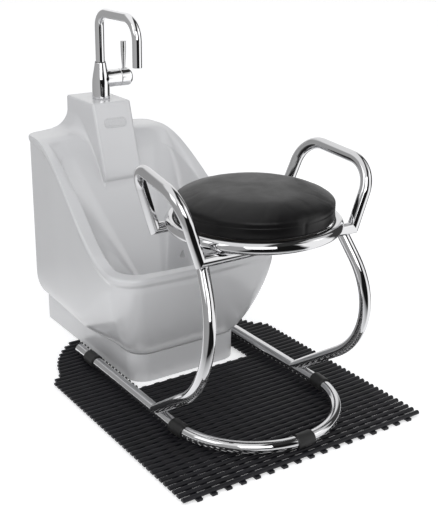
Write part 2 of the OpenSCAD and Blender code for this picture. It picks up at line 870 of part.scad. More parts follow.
// Slot that the lever's neck swings in, from upright to the full tilt.
module lever_slot() {
    half = lever_neck_d / 2 + slot_clearance;
    reach = mixer_d;
    far = [reach * sin(lever_swing) + half * cos(lever_swing),
        reach * cos(lever_swing) - half * sin(lever_swing)];
    near = [half * cos(lever_swing), -half * sin(lever_swing)];
    rotate([90, 0, 0])
        linear_extrude(2 * half, center = true)
            polygon([[-half, 0], near, far, [-half, reach]]);
}

// The cap turns with the lever about the mixer's axis.
module mixer_cap() {
    r = mixer_d / 2;
    l = mixer_cap_l;
    bore = cartridge_stem_d / 2 + running_gap;
    depth = lever_x - mixer_reach;
    color("silver")
        at_tap()
            difference() {
                translate([mixer_reach + cap_gap, 0, mixer_rise])
                    rotate([0, 90, 0])
                        rotate_extrude()
                            polygon([[bore, 0], [r, 0], [r, l - 9], [r - 2, l - 4], [r - 7, l - 1.2],
                                [r - 13, l], [0, l], [0, depth], [bore, depth]]);
                translate([lever_x, 0, mixer_rise]) {
                    knuckle(running_gap);
                    lever_slot();
                }
            }
}

module mixer_lever() {
    top_r = lever_d / 2;
    color("silver")
        at_tap()
            translate([lever_x, 0, mixer_rise]) {
                knuckle(0);
                rotate_extrude()
                    polygon([[0, 0], [lever_neck_d / 2, 0], [lever_neck_d / 2, mixer_d / 2 + 2],
                        [lever_neck_d / 2 + 0.5, mixer_d / 2 + 7], [top_r - 1, 0.55 * lever_h],
                        [top_r, 0.77 * lever_h], [top_r, lever_h - 1.5], [top_r - 1.5, lever_h],
                        [0, lever_h]]);
            }
}

// Places a run drawn from the origin along +X so that it starts by going up and turns forwards.
module rising() {
    rotate([90, -90, 90])
        children();
}

spout_foot = tap_body_h - spigot_l + 1;
spout_steps = [[spout_rise - spout_back_bend - spout_foot, spout_back_bend, 90],
    [spout_reach - spout_back_bend - spout_front_bend, spout_front_bend, 90],
    [spout_rise - spout_front_bend - outlet_rise, 0, 0]];

module spout() {
    color("silver")
        at_tap()
            translate([0, 0, spout_foot])
                rising()
                    bent_tube(spout_steps, spout_d, spout_wall);
}

module spout_seal() {
    color("dimgray")
        at_tap()
            translate([0, 0, tap_body_h])
                ring(tap_neck_d - 1.5, spout_d + 2 * running_gap, 1.2);
}

module aerator() {
    d = spout_d - 2 * spout_wall - 2 * running_gap;
    color("dimgray")
        at_tap()
            translate([0, -spout_reach, outlet_rise - 1]) {
                ring(d, d - 4, 12);
                translate([0, 0, 5])
                    for (a = [0, 45, 90, 135])
                        rotate([0, 0, a])
                            translate([-d / 2 + 1, -0.6, 0])
                                cube([d - 2, 1.2, 3]);
            }
}

// ---------------------------------------------------------------- seat frame

seat_y = from_back(seat_from_back);
floor_tube_z = mat_h + sleeve_d / 2;
cross_z = seat_ring_height - tube_d + ring_saddle;
tube_r = tube_d / 2;
front_cross_y = seat_y - front_cross_offset;
back_cross_y = seat_y + back_cross_offset;
weld_gap = 0.02;

rail_l = seat_from_back - rail_end_from_back;
plug_tail_l = 14;

module floor_ring() {
    color("silver")
        translate([-floor_ring_r, from_back(rail_end_from_back), floor_tube_z])
            rotate([0, 0, -90])
                bent_tube([[rail_l, floor_ring_r, 180], [rail_l, 0, 0]], tube_d, tube_wall);
}

module rail_plugs() {
    color("dimgray")
        for (s = [-1, 1])
            translate([s * floor_ring_r, from_back(rail_end_from_back), floor_tube_z])
                rotate([-90, 0, 0]) {
                    translate([0, 0, -plug_tail_l])
                        cylinder(r = tube_r - tube_wall - running_gap, h = plug_tail_l + eps);
                    rotate_extrude()
                        polygon([[0, 0], [tube_r, 0], [tube_r, 1.5], [tube_r - 2, 3.4], [0, 4]]);
                }
}

module sleeve_profile() {
    difference() {
        circle(d = sleeve_d);
        circle(r = tube_r + running_gap);
    }
}

back_sleeve_y = from_back(rail_end_from_back + 50);
module rail_sleeves() {
    color("dimgray")
        for (s = [-1, 1])
            translate([s * floor_ring_r, back_sleeve_y - sleeve_l, floor_tube_z])
                rotate([-90, 0, 0])
                    linear_extrude(sleeve_l)
                        sleeve_profile();
}

// Sleeves on the bent front of the floor ring: one at the middle and one at the start of each bend.
sleeve_turn = sleeve_l / floor_ring_r * 180 / PI;
module ring_sleeves() {
    color("dimgray")
        for (a = [-90 - sleeve_turn / 2, -sleeve_turn + 1, -181])
            translate([0, seat_y, floor_tube_z])
                rotate([0, 0, a])
                    rotate_extrude(angle = sleeve_turn)
                        translate([floor_ring_r, 0])
                            sleeve_profile();
}

// Places a run drawn from the origin along +X as the right leg: forwards and up from its foot,
// turning up and back.
module leg_plane() {
    translate([floor_ring_r, seat_y + leg_foot_back, floor_tube_z])
        rotate([0, 0, leg_splay])
            rotate([0, -leg_lean, 0])
                rotate([90, 0, -90])
                    rotate([0, 0, leg_rise_angle])
                        children();
}

// The leg runs from its foot up to the height of the cross tube, leg_rise up and leg_run forwards
// in its own plane. Its two lengths, to and from the corner of its bend, follow from that.
leg_rise = (cross_z - floor_tube_z) / cos(leg_lean);
leg_run = (leg_foot_back + front_cross_offset - leg_offset - leg_rise * sin(leg_lean) * sin(leg_splay))
    / cos(leg_splay);
leg_top_angle = leg_rise_angle + leg_bend_angle;
leg_corner_l = (leg_run * sin(leg_top_angle) - leg_rise * cos(leg_top_angle)) / sin(leg_bend_angle);
leg_upper_l = (leg_rise * cos(leg_rise_angle) - leg_run * sin(leg_rise_angle)) / sin(leg_bend_angle);
leg_tangent = leg_bend_r * tan(leg_bend_angle / 2);
// The upper straight runs on past the cross tube's centre, and is cut off there.
leg_steps = [[leg_corner_l - leg_tangent, leg_bend_r, leg_bend_angle],
    [leg_upper_l + tube_d - leg_tangent, 0, 0]];

module cross_rod(y, half, r) {
    translate([-half, y, cross_z])
        rotate([0, 90, 0])
            cylinder(r = r, h = 2 * half);
}

module leg() {
    color("silver")
        difference() {
            leg_plane()
                bent_tube(leg_steps, tube_d, tube_wall);
            translate([floor_ring_r, 0, floor_tube_z])
                rotate([90, 0, 0])
                    cylinder(r = tube_r + weld_gap, h = 600, center = true);
            cross_rod(front_cross_y, front_cross_half, tube_r + weld_gap);
            translate([0, 0, cross_z])
                half_space(1200);
        }
}

module leg_right() {
    leg();
}

module leg_left() {
    mirror([1, 0, 0])
        leg();
}

grip_foot_gap = norm([front_cross_half - back_cross_half, front_cross_offset + back_cross_offset]);
grip_toe = atan2(front_cross_half - back_cross_half, front_cross_offset + back_cross_offset);
// Corners of the right grip in its own plane, x backwards from its back foot and y up.
grip_back_corner = grip_back_rise * [-tan(grip_back_lean), 1];
grip_front_corner = [-grip_foot_gap, 0] + grip_front_rise * [-tan(grip_front_lean), 1];
grip_top = grip_back_corner - grip_front_corner;
grip_slope = atan2(grip_top[1], grip_top[0]);
grip_back_turn = 90 - grip_back_lean + grip_slope;
grip_front_turn = 90 + grip_front_lean - grip_slope;
grip_back_tangent = grip_back_bend * tan(grip_back_turn / 2);
grip_front_tangent = grip_front_bend * tan(grip_front_turn / 2);
grip_steps = [[grip_back_rise / cos(grip_back_lean) - grip_back_tangent, grip_back_bend, grip_back_turn],
    [norm(grip_top) - grip_back_tangent - grip_front_tangent, grip_front_bend, grip_front_turn],
    [grip_front_rise / cos(grip_front_lean) - grip_front_tangent, 0, 0]];

// Places a run drawn from the origin along +X as the right grip: up from its back foot,
// forwards along the top and down to its front foot.
module grip_plane() {
    translate([back_cross_half, back_cross_y, cross_z])
        rotate([0, 0, grip_toe])
            rotate([0, grip_tilt, 0])
                rotate([90, 0, 90])
                    rotate([0, 0, 90 + grip_back_lean])
                        children();
}

// Block beyond the mitre between a cross tube's right end and a grip, on the grip's side.
module mitre(y, half) {
    translate([half, y, cross_z])
        rotate([0, 45 + grip_tilt / 2, 0])
            half_space(160);
}

// The same on the cross tube's side.
module mitre_below(y, half) {
    translate([half, y, cross_z])
        rotate([0, 225 + grip_tilt / 2, 0])
            half_space(160);
}

module grip() {
    color("silver")
        difference() {
            grip_plane()
                bent_tube(grip_steps, tube_d, tube_wall, tube_d);
            mitre_below(front_cross_y, front_cross_half);
            mitre_below(back_cross_y, back_cross_half);
        }
}

module grip_right() {
    grip();
}

module grip_left() {
    mirror([1, 0, 0])
        grip();
}

module cross_tube(y, half) {
    color("silver")
        difference() {
            cross_rod(y, half + 20, tube_r);
            cross_rod(y, half + 40, tube_r - tube_wall);
            for (m = [0, 1])
                mirror([m, 0, 0])
                    mitre(y, half);
        }
}

module front_cross_tube() {
    cross_tube(front_cross_y, front_cross_half);
}

module back_cross_tube() {
    cross_tube(back_cross_y, back_cross_half);
}

module seat_ring() {
    color("silver")
        difference() {
            translate([0, seat_y, seat_ring_height])
                rotate_extrude()
                    translate([seat_ring_r, 0])
                        difference() {
                            circle(r = tube_r);
                            circle(r = tube_r - tube_wall);
                        }
            cross_rod(front_cross_y, front_cross_half, tube_r + weld_gap);
            cross_rod(back_cross_y, back_cross_half, tube_r + weld_gap);
        }
}

// ---------------------------------------------------------------------- seat

bridge_z = cross_z + tube_r;
swivel_z = bridge_z + bridge_t;
ball_z = swivel_z + swivel_t;
top_plate_z = ball_z + ball_d + running_gap;
board_z = top_plate_z + swivel_t;
cushion_z = seat_ring_height + tube_r + soft_gap;
board_top = board_z + board_t;
bolt_d = 6;
bolt_spread = swivel_side / 2 - 14;

module at_seat(z) {
    translate([0, seat_y, z])
        children();
}

module four_corners(s) {
    for (x = [-s, s], y = [-s, s])
        translate([x, y, 0])
            children();
}

module bridge_plate() {
    color("gray")
        difference() {
            translate([-bridge_w / 2, front_cross_y - tube_r, bridge_z])
                cube([bridge_w, front_cross_offset + back_cross_offset + tube_d, bridge_t]);
            at_seat(bridge_z - 1)
                four_corners(bolt_spread)
                    cylinder(d = bolt_d + 2 * running_gap, h = bridge_t + 2);
        }
}

module bridge_bolts() {
    color("silver")
        at_seat(bridge_z)
            four_corners(bolt_spread) {
                translate([0, 0, -4])
                    cylinder(d = 10, h = 4, $fn = 6);
                cylinder(d = bolt_d, h = bridge_t + swivel_t);
            }
}

module swivel_base() {
    color("gray")
        at_seat(swivel_z)
            difference() {
                translate([-swivel_side / 2, -swivel_side / 2, 0])
                    cube([swivel_side, swivel_side, swivel_t]);
                translate([0, 0, -1])
                    cylinder(d = pivot_d + 2 * running_gap, h = swivel_t + 2);
                translate([0, 0, -1])
                    four_corners(bolt_spread)
                        cylinder(d = bolt_d + 2 * running_gap, h = swivel_t + 2);
            }
}

module swivel_balls() {
    color("lightgray")
        at_seat(ball_z + ball_d / 2)
            for (i = [0 : ball_n - 1])
                rotate([0, 0, 360 * i / ball_n])
                    translate([ball_ring_r, 0, 0])
                        sphere(d = ball_d, $fn = 24);
}

pin_head_d = pivot_d + 10;
module swivel_pin() {
    stem = top_plate_z + swivel_t - swivel_z;
    color("silver")
        at_seat(swivel_z) {
            cylinder(d = pivot_d, h = stem + running_gap);
            translate([0, 0, stem + running_gap])
                cylinder(d = pin_head_d, h = 2.5);
            translate([0, 0, swivel_t])
                cylinder(d = pin_head_d, h = ball_d);
        }
}

module swivel_top() {
    color("gray")
        at_seat(top_plate_z)
            difference() {
                translate([-swivel_side / 2, -swivel_side / 2, 0])
                    cube([swivel_side, swivel_side, swivel_t]);
                translate([0, 0, -1])
                    cylinder(d = pivot_d + 2 * running_gap, h = swivel_t + 2);
                translate([0, 0, -1])
                    four_corners(bolt_spread - 14)
                        cylinder(d = bolt_d - 1 + 2 * running_gap, h = swivel_t + 2);
            }
}

module seat_screws() {
    color("silver")
        at_seat(top_plate_z)
            four_corners(bolt_spread - 14) {
                translate([0, 0, -2])
                    cylinder(d = 9, h = 2);
                cylinder(d = bolt_d - 1, h = swivel_t + board_t - 2);
            }
}

module seat_board() {
    color("burlywood")
        at_seat(board_z)
            difference() {
                cylinder(r = board_r, h = board_t);
                translate([0, 0, -1])
                    cylinder(d = pin_head_d + 4, h = 6);
                translate([0, 0, -1])
                    four_corners(bolt_spread - 14)
                        cylinder(d = bolt_d - 1 + 2 * running_gap, h = board_t);
            }
}

CROWN_STEPS = 10;
BAND_STEPS = 4;
CROWN_POWER = 3;
band_top = cushion_z + cushion_band;
// Crown of the cushion: nearly flat in the middle and round at the edge.
function crown_point(t) = let (r = cushion_r * cos(90 * t))
    [r, band_top + cushion_crown * pow(1 - pow(cos(90 * t), CROWN_POWER), 1 / CROWN_POWER)];
module seat_cushion() {
    color([0.13, 0.13, 0.13])
        at_seat(0)
            rotate_extrude($fn = 48)
                polygon(concat(
                    [[0, board_top + soft_gap], [board_r + soft_gap, board_top + soft_gap],
                        [board_r + soft_gap, cushion_z], [cushion_r - 3, cushion_z]],
                    [for (i = [0 : BAND_STEPS])
                        let (t = i / BAND_STEPS)
                        [cushion_r - cushion_draw * sin(180 * t), mix(cushion_z + 3, band_top - 3, t)]],
                    [[cushion_r - piping_r - 1, band_top - 2], [cushion_r - piping_r - 1, band_top]],
                    [for (i = [1 : CROWN_STEPS]) crown_point(i / CROWN_STEPS)]));
}

module seat_piping() {
    color([0.1, 0.1, 0.1])
        at_seat(band_top - 0.9)
            rotate_extrude()
                translate([cushion_r + 0.3, 0])
                    circle(r = piping_r - 0.8, $fn = 24);
}

// ----------------------------------------------------------------------- mat

mat_front_y = -set_length / 2;
mat_half = mat_width / 2;
cut_half = plinth_width / 2 + mat_side_gap;
cut_front_y = from_back(plinth_setback + plinth_depth) - mat_front_gap;
mat_square_y = mat_front_y + mat_square_l;
mat_back_y = mat_square_y + mat_arm_l;
arm_half = mat_half - mat_notch_w;
// Centre of the right arm's rounded edge, which starts at the end of the notch.
arm_centre_x = mat_half - mat_notch_w - 0.975 * mat_arm_r;
arm_centre_y = mat_square_y + mat_notch_l - sqrt(pow(mat_arm_r, 2) - pow(arm_half - arm_centre_x, 2));
function arm_side(u) = sqrt(max(0, pow(mat_arm_r, 2) - u * u));

// Half width of the mat at y: square, then narrowing fast, then round.
function mat_reach(y) = y < mat_square_y + mat_notch_l
    ? mix(mat_half, arm_half, clamp01((y - mat_square_y) / mat_notch_l))
    : arm_centre_x + arm_side(y - arm_centre_y);
// Y at which the mat's edge reaches x.
function mat_end(x) = abs(x) > arm_half
    ? mat_square_y + mat_notch_l * (mat_half - abs(x)) / mat_notch_w
    : min(mat_back_y, arm_centre_y + arm_side(abs(x) - arm_centre_x));

rib_count = floor((mat_back_y - mat_front_y - bar_out - rib_w) / rib_pitch) + 1;
bar_count = 2 * floor((mat_half - bar_w / 2) / bar_pitch) + 1;

module rib(x0, x1, y) {
    translate([x0, y, bar_h])
        rotate([90, 0, 90])
            linear_extrude(x1 - x0)
                intersection() {
                    translate([0, 0.28 * rib_h])
                        circle(d = 1.44 * rib_h + 0.3, $fn = 32);
                    translate([-rib_w / 2, 0])
                        square([rib_w, rib_h]);
                }
}

module mat_ribs() {
    color([0.09, 0.09, 0.09])
        for (i = [0 : rib_count - 1]) {
            y = mat_front_y + bar_out + rib_w / 2 + i * rib_pitch;
            reach = mat_reach(y);
            if (y + rib_w / 2 < cut_front_y)
                rib(-reach, reach, y);
            else
                for (m = [0, 1])
                    mirror([m, 0, 0])
                        rib(cut_half, reach, y);
        }
}

module mat_bars() {
    color([0.07, 0.07, 0.07])
        for (i = [0 : bar_count - 1]) {
            x = (i - (bar_count - 1) / 2) * bar_pitch;
            inside = abs(x) - bar_w / 2 < cut_half;
            end = inside ? cut_front_y : mat_end(abs(x) + bar_w / 2);
            translate([x - bar_w / 2, mat_front_y, 0])
                cube([bar_w, end - mat_front_y - 1, bar_h]);
        }
}

basin_shell();
plinth();
badge_plate();
waste_flange();
waste_seal();
waste_nut();
waste_plug();
trap_body();
trap_nut();
waste_pipe();
tap_gasket();
tap_body();
tap_shank();
tap_washer();
tap_nut();
supply_pipes();
supply_nuts();
mixer_cartridge();
mixer_cap();
mixer_lever();
spout();
spout_seal();
aerator();
floor_ring();
leg_left();
leg_right();
front_cross_tube();
back_cross_tube();
seat_ring();
grip_left();
grip_right();
rail_plugs();
rail_sleeves();
ring_sleeves();
bridge_plate();
bridge_bolts();
swivel_base();
swivel_balls();
swivel_pin();
swivel_top();
seat_screws();
seat_board();
seat_cushion();
seat_piping();
mat_bars();
mat_ribs();
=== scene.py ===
"""Foot-wash basin with a swan-neck mixer tap, a round swivel seat on a bent-tube frame and a ribbed mat.

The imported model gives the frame. The glazed basin, the tap and the cushion are shaped here as
surfaces worked out with numpy, and the tubes, the mat and the fittings get their finishes.
"""

import math

import bmesh
import bpy
import numpy as np
from bpy.props import FloatProperty, FloatVectorProperty, PointerProperty
from mathutils import Matrix, Vector


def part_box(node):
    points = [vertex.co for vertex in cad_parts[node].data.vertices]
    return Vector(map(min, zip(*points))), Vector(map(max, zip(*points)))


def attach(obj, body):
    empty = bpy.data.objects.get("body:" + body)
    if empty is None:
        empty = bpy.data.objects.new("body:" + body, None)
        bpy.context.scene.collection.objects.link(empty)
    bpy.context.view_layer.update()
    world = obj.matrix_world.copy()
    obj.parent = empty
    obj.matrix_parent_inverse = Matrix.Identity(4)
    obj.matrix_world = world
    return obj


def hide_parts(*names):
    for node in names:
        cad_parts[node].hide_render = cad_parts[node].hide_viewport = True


bl_info = {
    "name": "Foot-wash basin set",
    "version": (1, 0, 0),
    "blender": (4, 5, 0),
    "location": "View3D > Sidebar > Foot basin",
    "description": "Dresses the foot-wash basin, its tap, the swivel seat and the mat",
    "category": "Object",
}

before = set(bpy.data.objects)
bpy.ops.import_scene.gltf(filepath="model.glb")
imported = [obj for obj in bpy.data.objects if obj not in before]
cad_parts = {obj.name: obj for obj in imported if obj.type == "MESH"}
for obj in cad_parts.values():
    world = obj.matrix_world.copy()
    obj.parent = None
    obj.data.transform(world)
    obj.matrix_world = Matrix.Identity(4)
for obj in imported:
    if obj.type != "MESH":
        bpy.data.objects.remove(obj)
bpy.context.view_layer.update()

# The spout's stem stands this far in front of the plane of the basin's back, whose Y is BACK.
# Depths below are measured forwards from that plane.
STEM_FROM_BACK = 0.0725
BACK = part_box("spout")[1].y + STEM_FROM_BACK


# ---- surfaces


def smooth(t):
    """Rises from 0 to 1 while t goes from 0 to 1, level at both ends: 3 t^2 - 2 t^3."""
    t = np.clip(t, 0.0, 1.0)
    return t * t * (3.0 - 2.0 * t)


def mix(a, b, t):
    """a where t is 0 and b where it is 1."""
    return a + (b - a) * t


def whole_turn(count):
    """Angles once round, without the last."""
    return np.linspace(0, 2 * math.pi, count, endpoint=False)


def columns(count, *parts):
    """The parts side by side in count rows, each an array or one number."""
    return np.column_stack([np.broadcast_to(part, count) for part in parts])


def middle(name):
    """Centre of the box of a node of the frame."""
    return np.add(*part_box(name)) / 2


def add_object(name, data):
    """An object at the origin, in the scene's own collection."""
    obj = bpy.data.objects.new(name, data)
    bpy.context.scene.collection.objects.link(obj)
    return obj


def new_object(name, verts, faces):
    """A mesh object at the origin with its place in its mesh, shaded smooth."""
    mesh = bpy.data.meshes.new(name)
    mesh.from_pydata(np.asarray(verts, float).tolist(), [], faces)
    mesh.validate()
    mesh.shade_smooth()
    return add_object(name, mesh)


def read_points(mesh):
    """The mesh's vertices as an array [vertex, xyz]."""
    flat = np.zeros(len(mesh.vertices) * 3)
    mesh.vertices.foreach_get("co", flat)
    return flat.reshape(-1, 3)


def face_outwards(obj):
    """Turns the faces of a closed mesh outwards after its doubles are merged."""
    bm = bmesh.new()
    bm.from_mesh(obj.data)
    bmesh.ops.remove_doubles(bm, verts=bm.verts, dist=1e-7)
    bmesh.ops.recalc_face_normals(bm, faces=bm.faces)
    bm.to_mesh(obj.data)
    bm.free()
    return obj


def shell(name, points):
    """Closed skin through the rows of points [row, column, xyz], each end closed by a fan."""
    rows, cols = points.shape[:2]
    i, j = np.meshgrid(np.arange(rows - 1), np.arange(cols), indexing="ij")
    a, b = i * cols + j, i * cols + (j + 1) % cols
    faces = np.stack([a, b, b + cols, a + cols], -1).reshape(-1, 4).tolist()
    verts = [points.reshape(-1, 3)]
    for end, row in enumerate((0, rows - 1)):
        ring = np.arange(cols) + row * cols
        verts.append(points[row].mean(0)[None, :])
        faces += columns(cols, ring, np.roll(ring, -1), rows * cols + end).tolist()
    return new_object(name, np.concatenate(verts), faces)


def join(name, *objs):
    """One object out of several, in the order given."""
    bm = bmesh.new()
    for o in objs:
        bm.from_mesh(o.data)
        bpy.data.objects.remove(o, do_unlink=True)
    mesh = bpy.data.meshes.new(name)
    bm.to_mesh(mesh)
    bm.free()
    mesh.shade_smooth()
    return add_object(name, mesh)


def rounded_profile(corners, steps=5):
    """A profile [radius, height] with rounded corners. Each corner is (radius, height, rounding);
    the rounding is a quadratic curve from the edge before the corner to the edge after it."""
    pts = np.array([c[:2] for c in corners], float)
    out = [pts[:1]]
    t = np.linspace(0, 1, steps + 1)[:, None]
    for k in range(1, len(pts) - 1):
        p, a, b = pts[k], pts[k - 1], pts[k + 1]
        la, lb = np.linalg.norm(a - p), np.linalg.norm(b - p)
        r = min(corners[k][2], 0.48 * la, 0.48 * lb)
        if r <= 0:
            out.append(p[None, :])
            continue
        p0, p1 = p + (a - p) / la * r, p + (b - p) / lb * r
        out.append((1 - t) ** 2 * p0 + 2 * t * (1 - t) * p + t * t * p1)
    out.append(pts[-1:])
    return np.concatenate(out)


def turned(name, profile, origin, axis="Z", cols=64):
    """A turned piece: profile [radius, height] carried once round an axis through origin."""
    a = whole_turn(cols)
    r, h = profile[:, 0][:, None], profile[:, 1][:, None]
    u, v = r * np.cos(a), r * np.sin(a)
    w = np.repeat(h, cols, 1)
    order = {"Z": (u, v, w), "X": (w, u, v), "Y": (v, w, u)}[axis]
    return face_outwards(shell(name, np.stack(order, -1) + np.asarray(origin, float)))


def arc_path(corners, radii, step=math.radians(4)):
    """Points along straight runs joined by circular bends of the given radius at each corner."""
    pts = [np.asarray(c, float) for c in corners]
    out = [pts[0]]
    for k in range(1, len(pts) - 1):
        a, p, b = pts[k - 1], pts[k], pts[k + 1]
        ua, ub = (a - p) / np.linalg.norm(a - p), (b - p) / np.linalg.norm(b - p)
        half = math.acos(np.clip(np.dot(ua, ub), -1, 1)) / 2
        reach = radii[k] / math.tan(half)
        bis = (ua + ub) / np.linalg.norm(ua + ub)
        centre = p + bis * radii[k] / math.sin(half)
        p0 = p + ua * reach - centre
        side = p + ub * reach - centre
        turn = math.pi - 2 * half
        count = max(4, int(turn / step))
        normal = np.cross(p0, side)
        normal /= np.linalg.norm(normal)
        t = np.linspace(0, turn, count + 1)[:, None]
        out += list(centre + p0 * np.cos(t) + np.cross(normal, p0) * np.sin(t))
    out.append(pts[-1])
    return np.array(out)


def swept(path, profile_r, profile_s, cols=40):
    """Rows of a round section carried along a path: at the fraction profile_s[k] of its length the
    section has radius profile_r[k]. Frames are carried along without twist."""
    seg = np.linalg.norm(np.diff(path, axis=0), axis=1)
    dist = np.concatenate([[0], np.cumsum(seg)])
    tang = np.gradient(path, dist, axis=0)
    tang /= np.linalg.norm(tang, axis=1)[:, None]
    side = np.zeros_like(tang)
    ref = np.array([1.0, 0, 0]) if abs(tang[0][0]) < 0.9 else np.array([0, 1.0, 0])
    n = np.cross(tang[0], ref)
    for k, t in enumerate(tang):
        n = n - t * np.dot(n, t)
        n /= np.linalg.norm(n)
        side[k] = n
    up = np.cross(tang, side)
    a = whole_turn(cols)
    at = np.asarray(profile_s) * dist[-1]

    def take(values):
        return np.stack([np.interp(at, dist, values[:, k]) for k in range(3)], -1)

    c, s, u = take(path), take(side), take(up)
    r = np.asarray(profile_r)[:, None, None]
    across, upward = np.cos(a)[None, :, None] * s[:, None], np.sin(a)[None, :, None] * u[:, None]
    return c[:, None] + r * (across + upward)


# ---- materials


# The middle of a noise's values, over which a colour or a roughness changes.
NOISE_SPAN = (0.3, 0.7)


def add_node(tree, kind, *terms, **values):
    """A shader node. The terms go to its inputs in their order, and each value to its setting or
    its input of that name. A term that is another node's output is linked."""
    node = tree.nodes.new("ShaderNode" + kind)
    for key in [k for k in values if hasattr(node, k)]:
        setattr(node, key, values.pop(key))
    named = [(node.inputs[key.replace("_", " ")], value) for key, value in values.items()]
    for socket, term in list(zip(node.inputs, terms)) + named:
        feed(tree, socket, term)
    return node


def feed(tree, socket, term):
    """Sets an input to a number or a colour, or links it to another node's output."""
    if isinstance(term, bpy.types.NodeSocket):
        tree.links.new(term, socket)
    else:
        socket.default_value = term


def calculate(tree, operation, *terms):
    """Result of a Math node."""
    return add_node(tree, "Math", *terms, operation=operation).outputs[0]


def surface(mat):
    """The inputs of the material's Principled shader."""
    return mat.node_tree.nodes["Principled BSDF"].inputs


def material(name, color, roughness, metallic=0.0, coat=0.0, coat_rough=0.1, ior=1.5):
    """A Principled material with its constants on the shader's own sockets."""
    mat = bpy.data.materials.new(name)
    mat.use_nodes = True
    for key, value in (("Base Color", (*color, 1)), ("Roughness", roughness), ("Metallic", metallic),
                       ("Coat Weight", coat), ("Coat Roughness", coat_rough), ("IOR", ior)):
        surface(mat)[key].default_value = value
    mat.diffuse_color = (*color, 1)
    return mat


def object_noise(mat, scale, detail=3.0, stretch=(1, 1, 1)):
    """Noise on Object coordinates, stretched by stretch."""
    tree = mat.node_tree
    on = add_node(tree, "Mapping", add_node(tree, "TexCoord").outputs["Object"], Scale=stretch)
    return add_node(tree, "TexNoise", on.outputs[0], Scale=scale, Detail=detail).outputs["Fac"]


def shade(color, factor):
    """The colour made darker or lighter."""
    return tuple(min(1, c * factor) for c in color)


def vary_color(mat, noise, color, low, high):
    """Base colour from low to high times the color, as the noise rises."""
    tree = mat.node_tree
    grades = add_node(tree, "ValToRGB", noise)
    for stop, at, factor in zip(grades.color_ramp.elements, NOISE_SPAN, (low, high)):
        stop.position, stop.color = at, (*shade(color, factor), 1)
    feed(tree, surface(mat)["Base Color"], grades.outputs["Color"])


def vary_roughness(mat, noise, low, high):
    """Roughness from low to high, as the noise rises."""
    tree = mat.node_tree
    span = add_node(tree, "MapRange", noise, *NOISE_SPAN, low, high)
    feed(tree, surface(mat)["Roughness"], span.outputs["Result"])


def bump(mat, height, strength, distance, over=None):
    """Fine relief from a height, laid over an earlier relief where one is given."""
    tree = mat.node_tree
    node = add_node(tree, "Bump", Height=height, Strength=strength, Distance=distance)
    if over is not None:
        feed(tree, node.inputs["Normal"], over)
    feed(tree, surface(mat)["Normal"], node.outputs["Normal"])
    return node.outputs["Normal"]


def glaze(name, color):
    """White glaze: a clear coat over a faintly mottled body, with the low waves of a fired skin."""
    mat = material(name, color, 0.3, coat=0.55, coat_rough=0.07)
    vary_color(mat, object_noise(mat, 5.0, 2.0), color, 0.975, 1.02)
    waves = bump(mat, object_noise(mat, 9.0, 1.0), 0.12, 0.004)
    bump(mat, object_noise(mat, 260.0, 2.0), 0.03, 0.0004, over=waves)
    return mat


def chrome(name, color, roughness):
    """Bright chrome with slightly cloudy patches."""
    mat = material(name, color, roughness, metallic=1.0)
    vary_roughness(mat, object_noise(mat, 24.0, 4.0), roughness * 0.7, roughness * 1.5)
    return mat


def rubber(name, color, roughness, grain=600.0):
    """Matte rubber with a fine moulded grain and a little dust in broad patches."""
    mat = material(name, color, roughness, ior=1.45)
    vary_color(mat, object_noise(mat, 14.0), color, 0.75, 1.35)
    bump(mat, object_noise(mat, grain), 0.18, 0.0004)
    return mat


def leathercloth(name, color, roughness):
    """Coated upholstery cloth: pebbled cells a millimetre across over long soft creases."""
    mat = material(name, color, roughness, ior=1.34)
    vary_color(mat, object_noise(mat, 9.0), color, 0.85, 1.2)
    vary_roughness(mat, object_noise(mat, 30.0), roughness * 0.9, roughness * 1.12)
    creases = bump(mat, object_noise(mat, 26.0, 4.0, (1, 1.6, 1)), 0.1, 0.003)
    tree = mat.node_tree
    cells = add_node(tree, "TexVoronoi", add_node(tree, "TexCoord").outputs["Object"], Scale=900.0)
    bump(mat, cells.outputs["Distance"], 0.16, 0.0003, over=creases)
    return mat


def plywood(name, color):
    """Stained plywood: long grain that runs across the board."""
    mat = material(name, color, 0.55)
    grain = object_noise(mat, 6.0, 6.0, (1, 22, 22))
    vary_color(mat, grain, color, 0.72, 1.15)
    bump(mat, grain, 0.15, 0.0006)
    return mat


def worn_metal(name, color, roughness):
    """Zinc-plated or machined metal with brushed marks and dull patches."""
    mat = material(name, color, roughness, metallic=1.0)
    brushed = object_noise(mat, 40.0, 4.0, (1, 12, 1))
    vary_roughness(mat, brushed, roughness * 0.7, roughness * 1.4)
    vary_color(mat, brushed, color, 0.85, 1.1)
    bump(mat, brushed, 0.08, 0.0002)
    return mat


def moulded(name, color, roughness):
    """Moulded plastic with a fine spark-eroded texture."""
    mat = material(name, color, roughness)
    fine = object_noise(mat, 420.0, 2.0)
    vary_roughness(mat, fine, roughness * 0.85, roughness * 1.15)
    bump(mat, fine, 0.08, 0.0003)
    return mat


def finish(mat, *names):
    """Gives the CAD nodes of those names this finish."""
    for n in names:
        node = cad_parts[n]
        node.data.materials.clear()
        node.data.materials.append(mat)


def place(obj, body, slot_name, mat, *stands_for):
    """Dresses a new piece, lets it move with its body and hides the nodes it stands for."""
    obj.data.materials.clear()
    obj.data.materials.append(mat)
    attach(obj, body)
    if stands_for:
        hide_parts(*stands_for)
    return obj


# ---- basin


# Points on the back, the back corner, the side, the front corner and the front of half an outline.
OUTLINE_STEPS = (22, 22, 64, 24, 24)


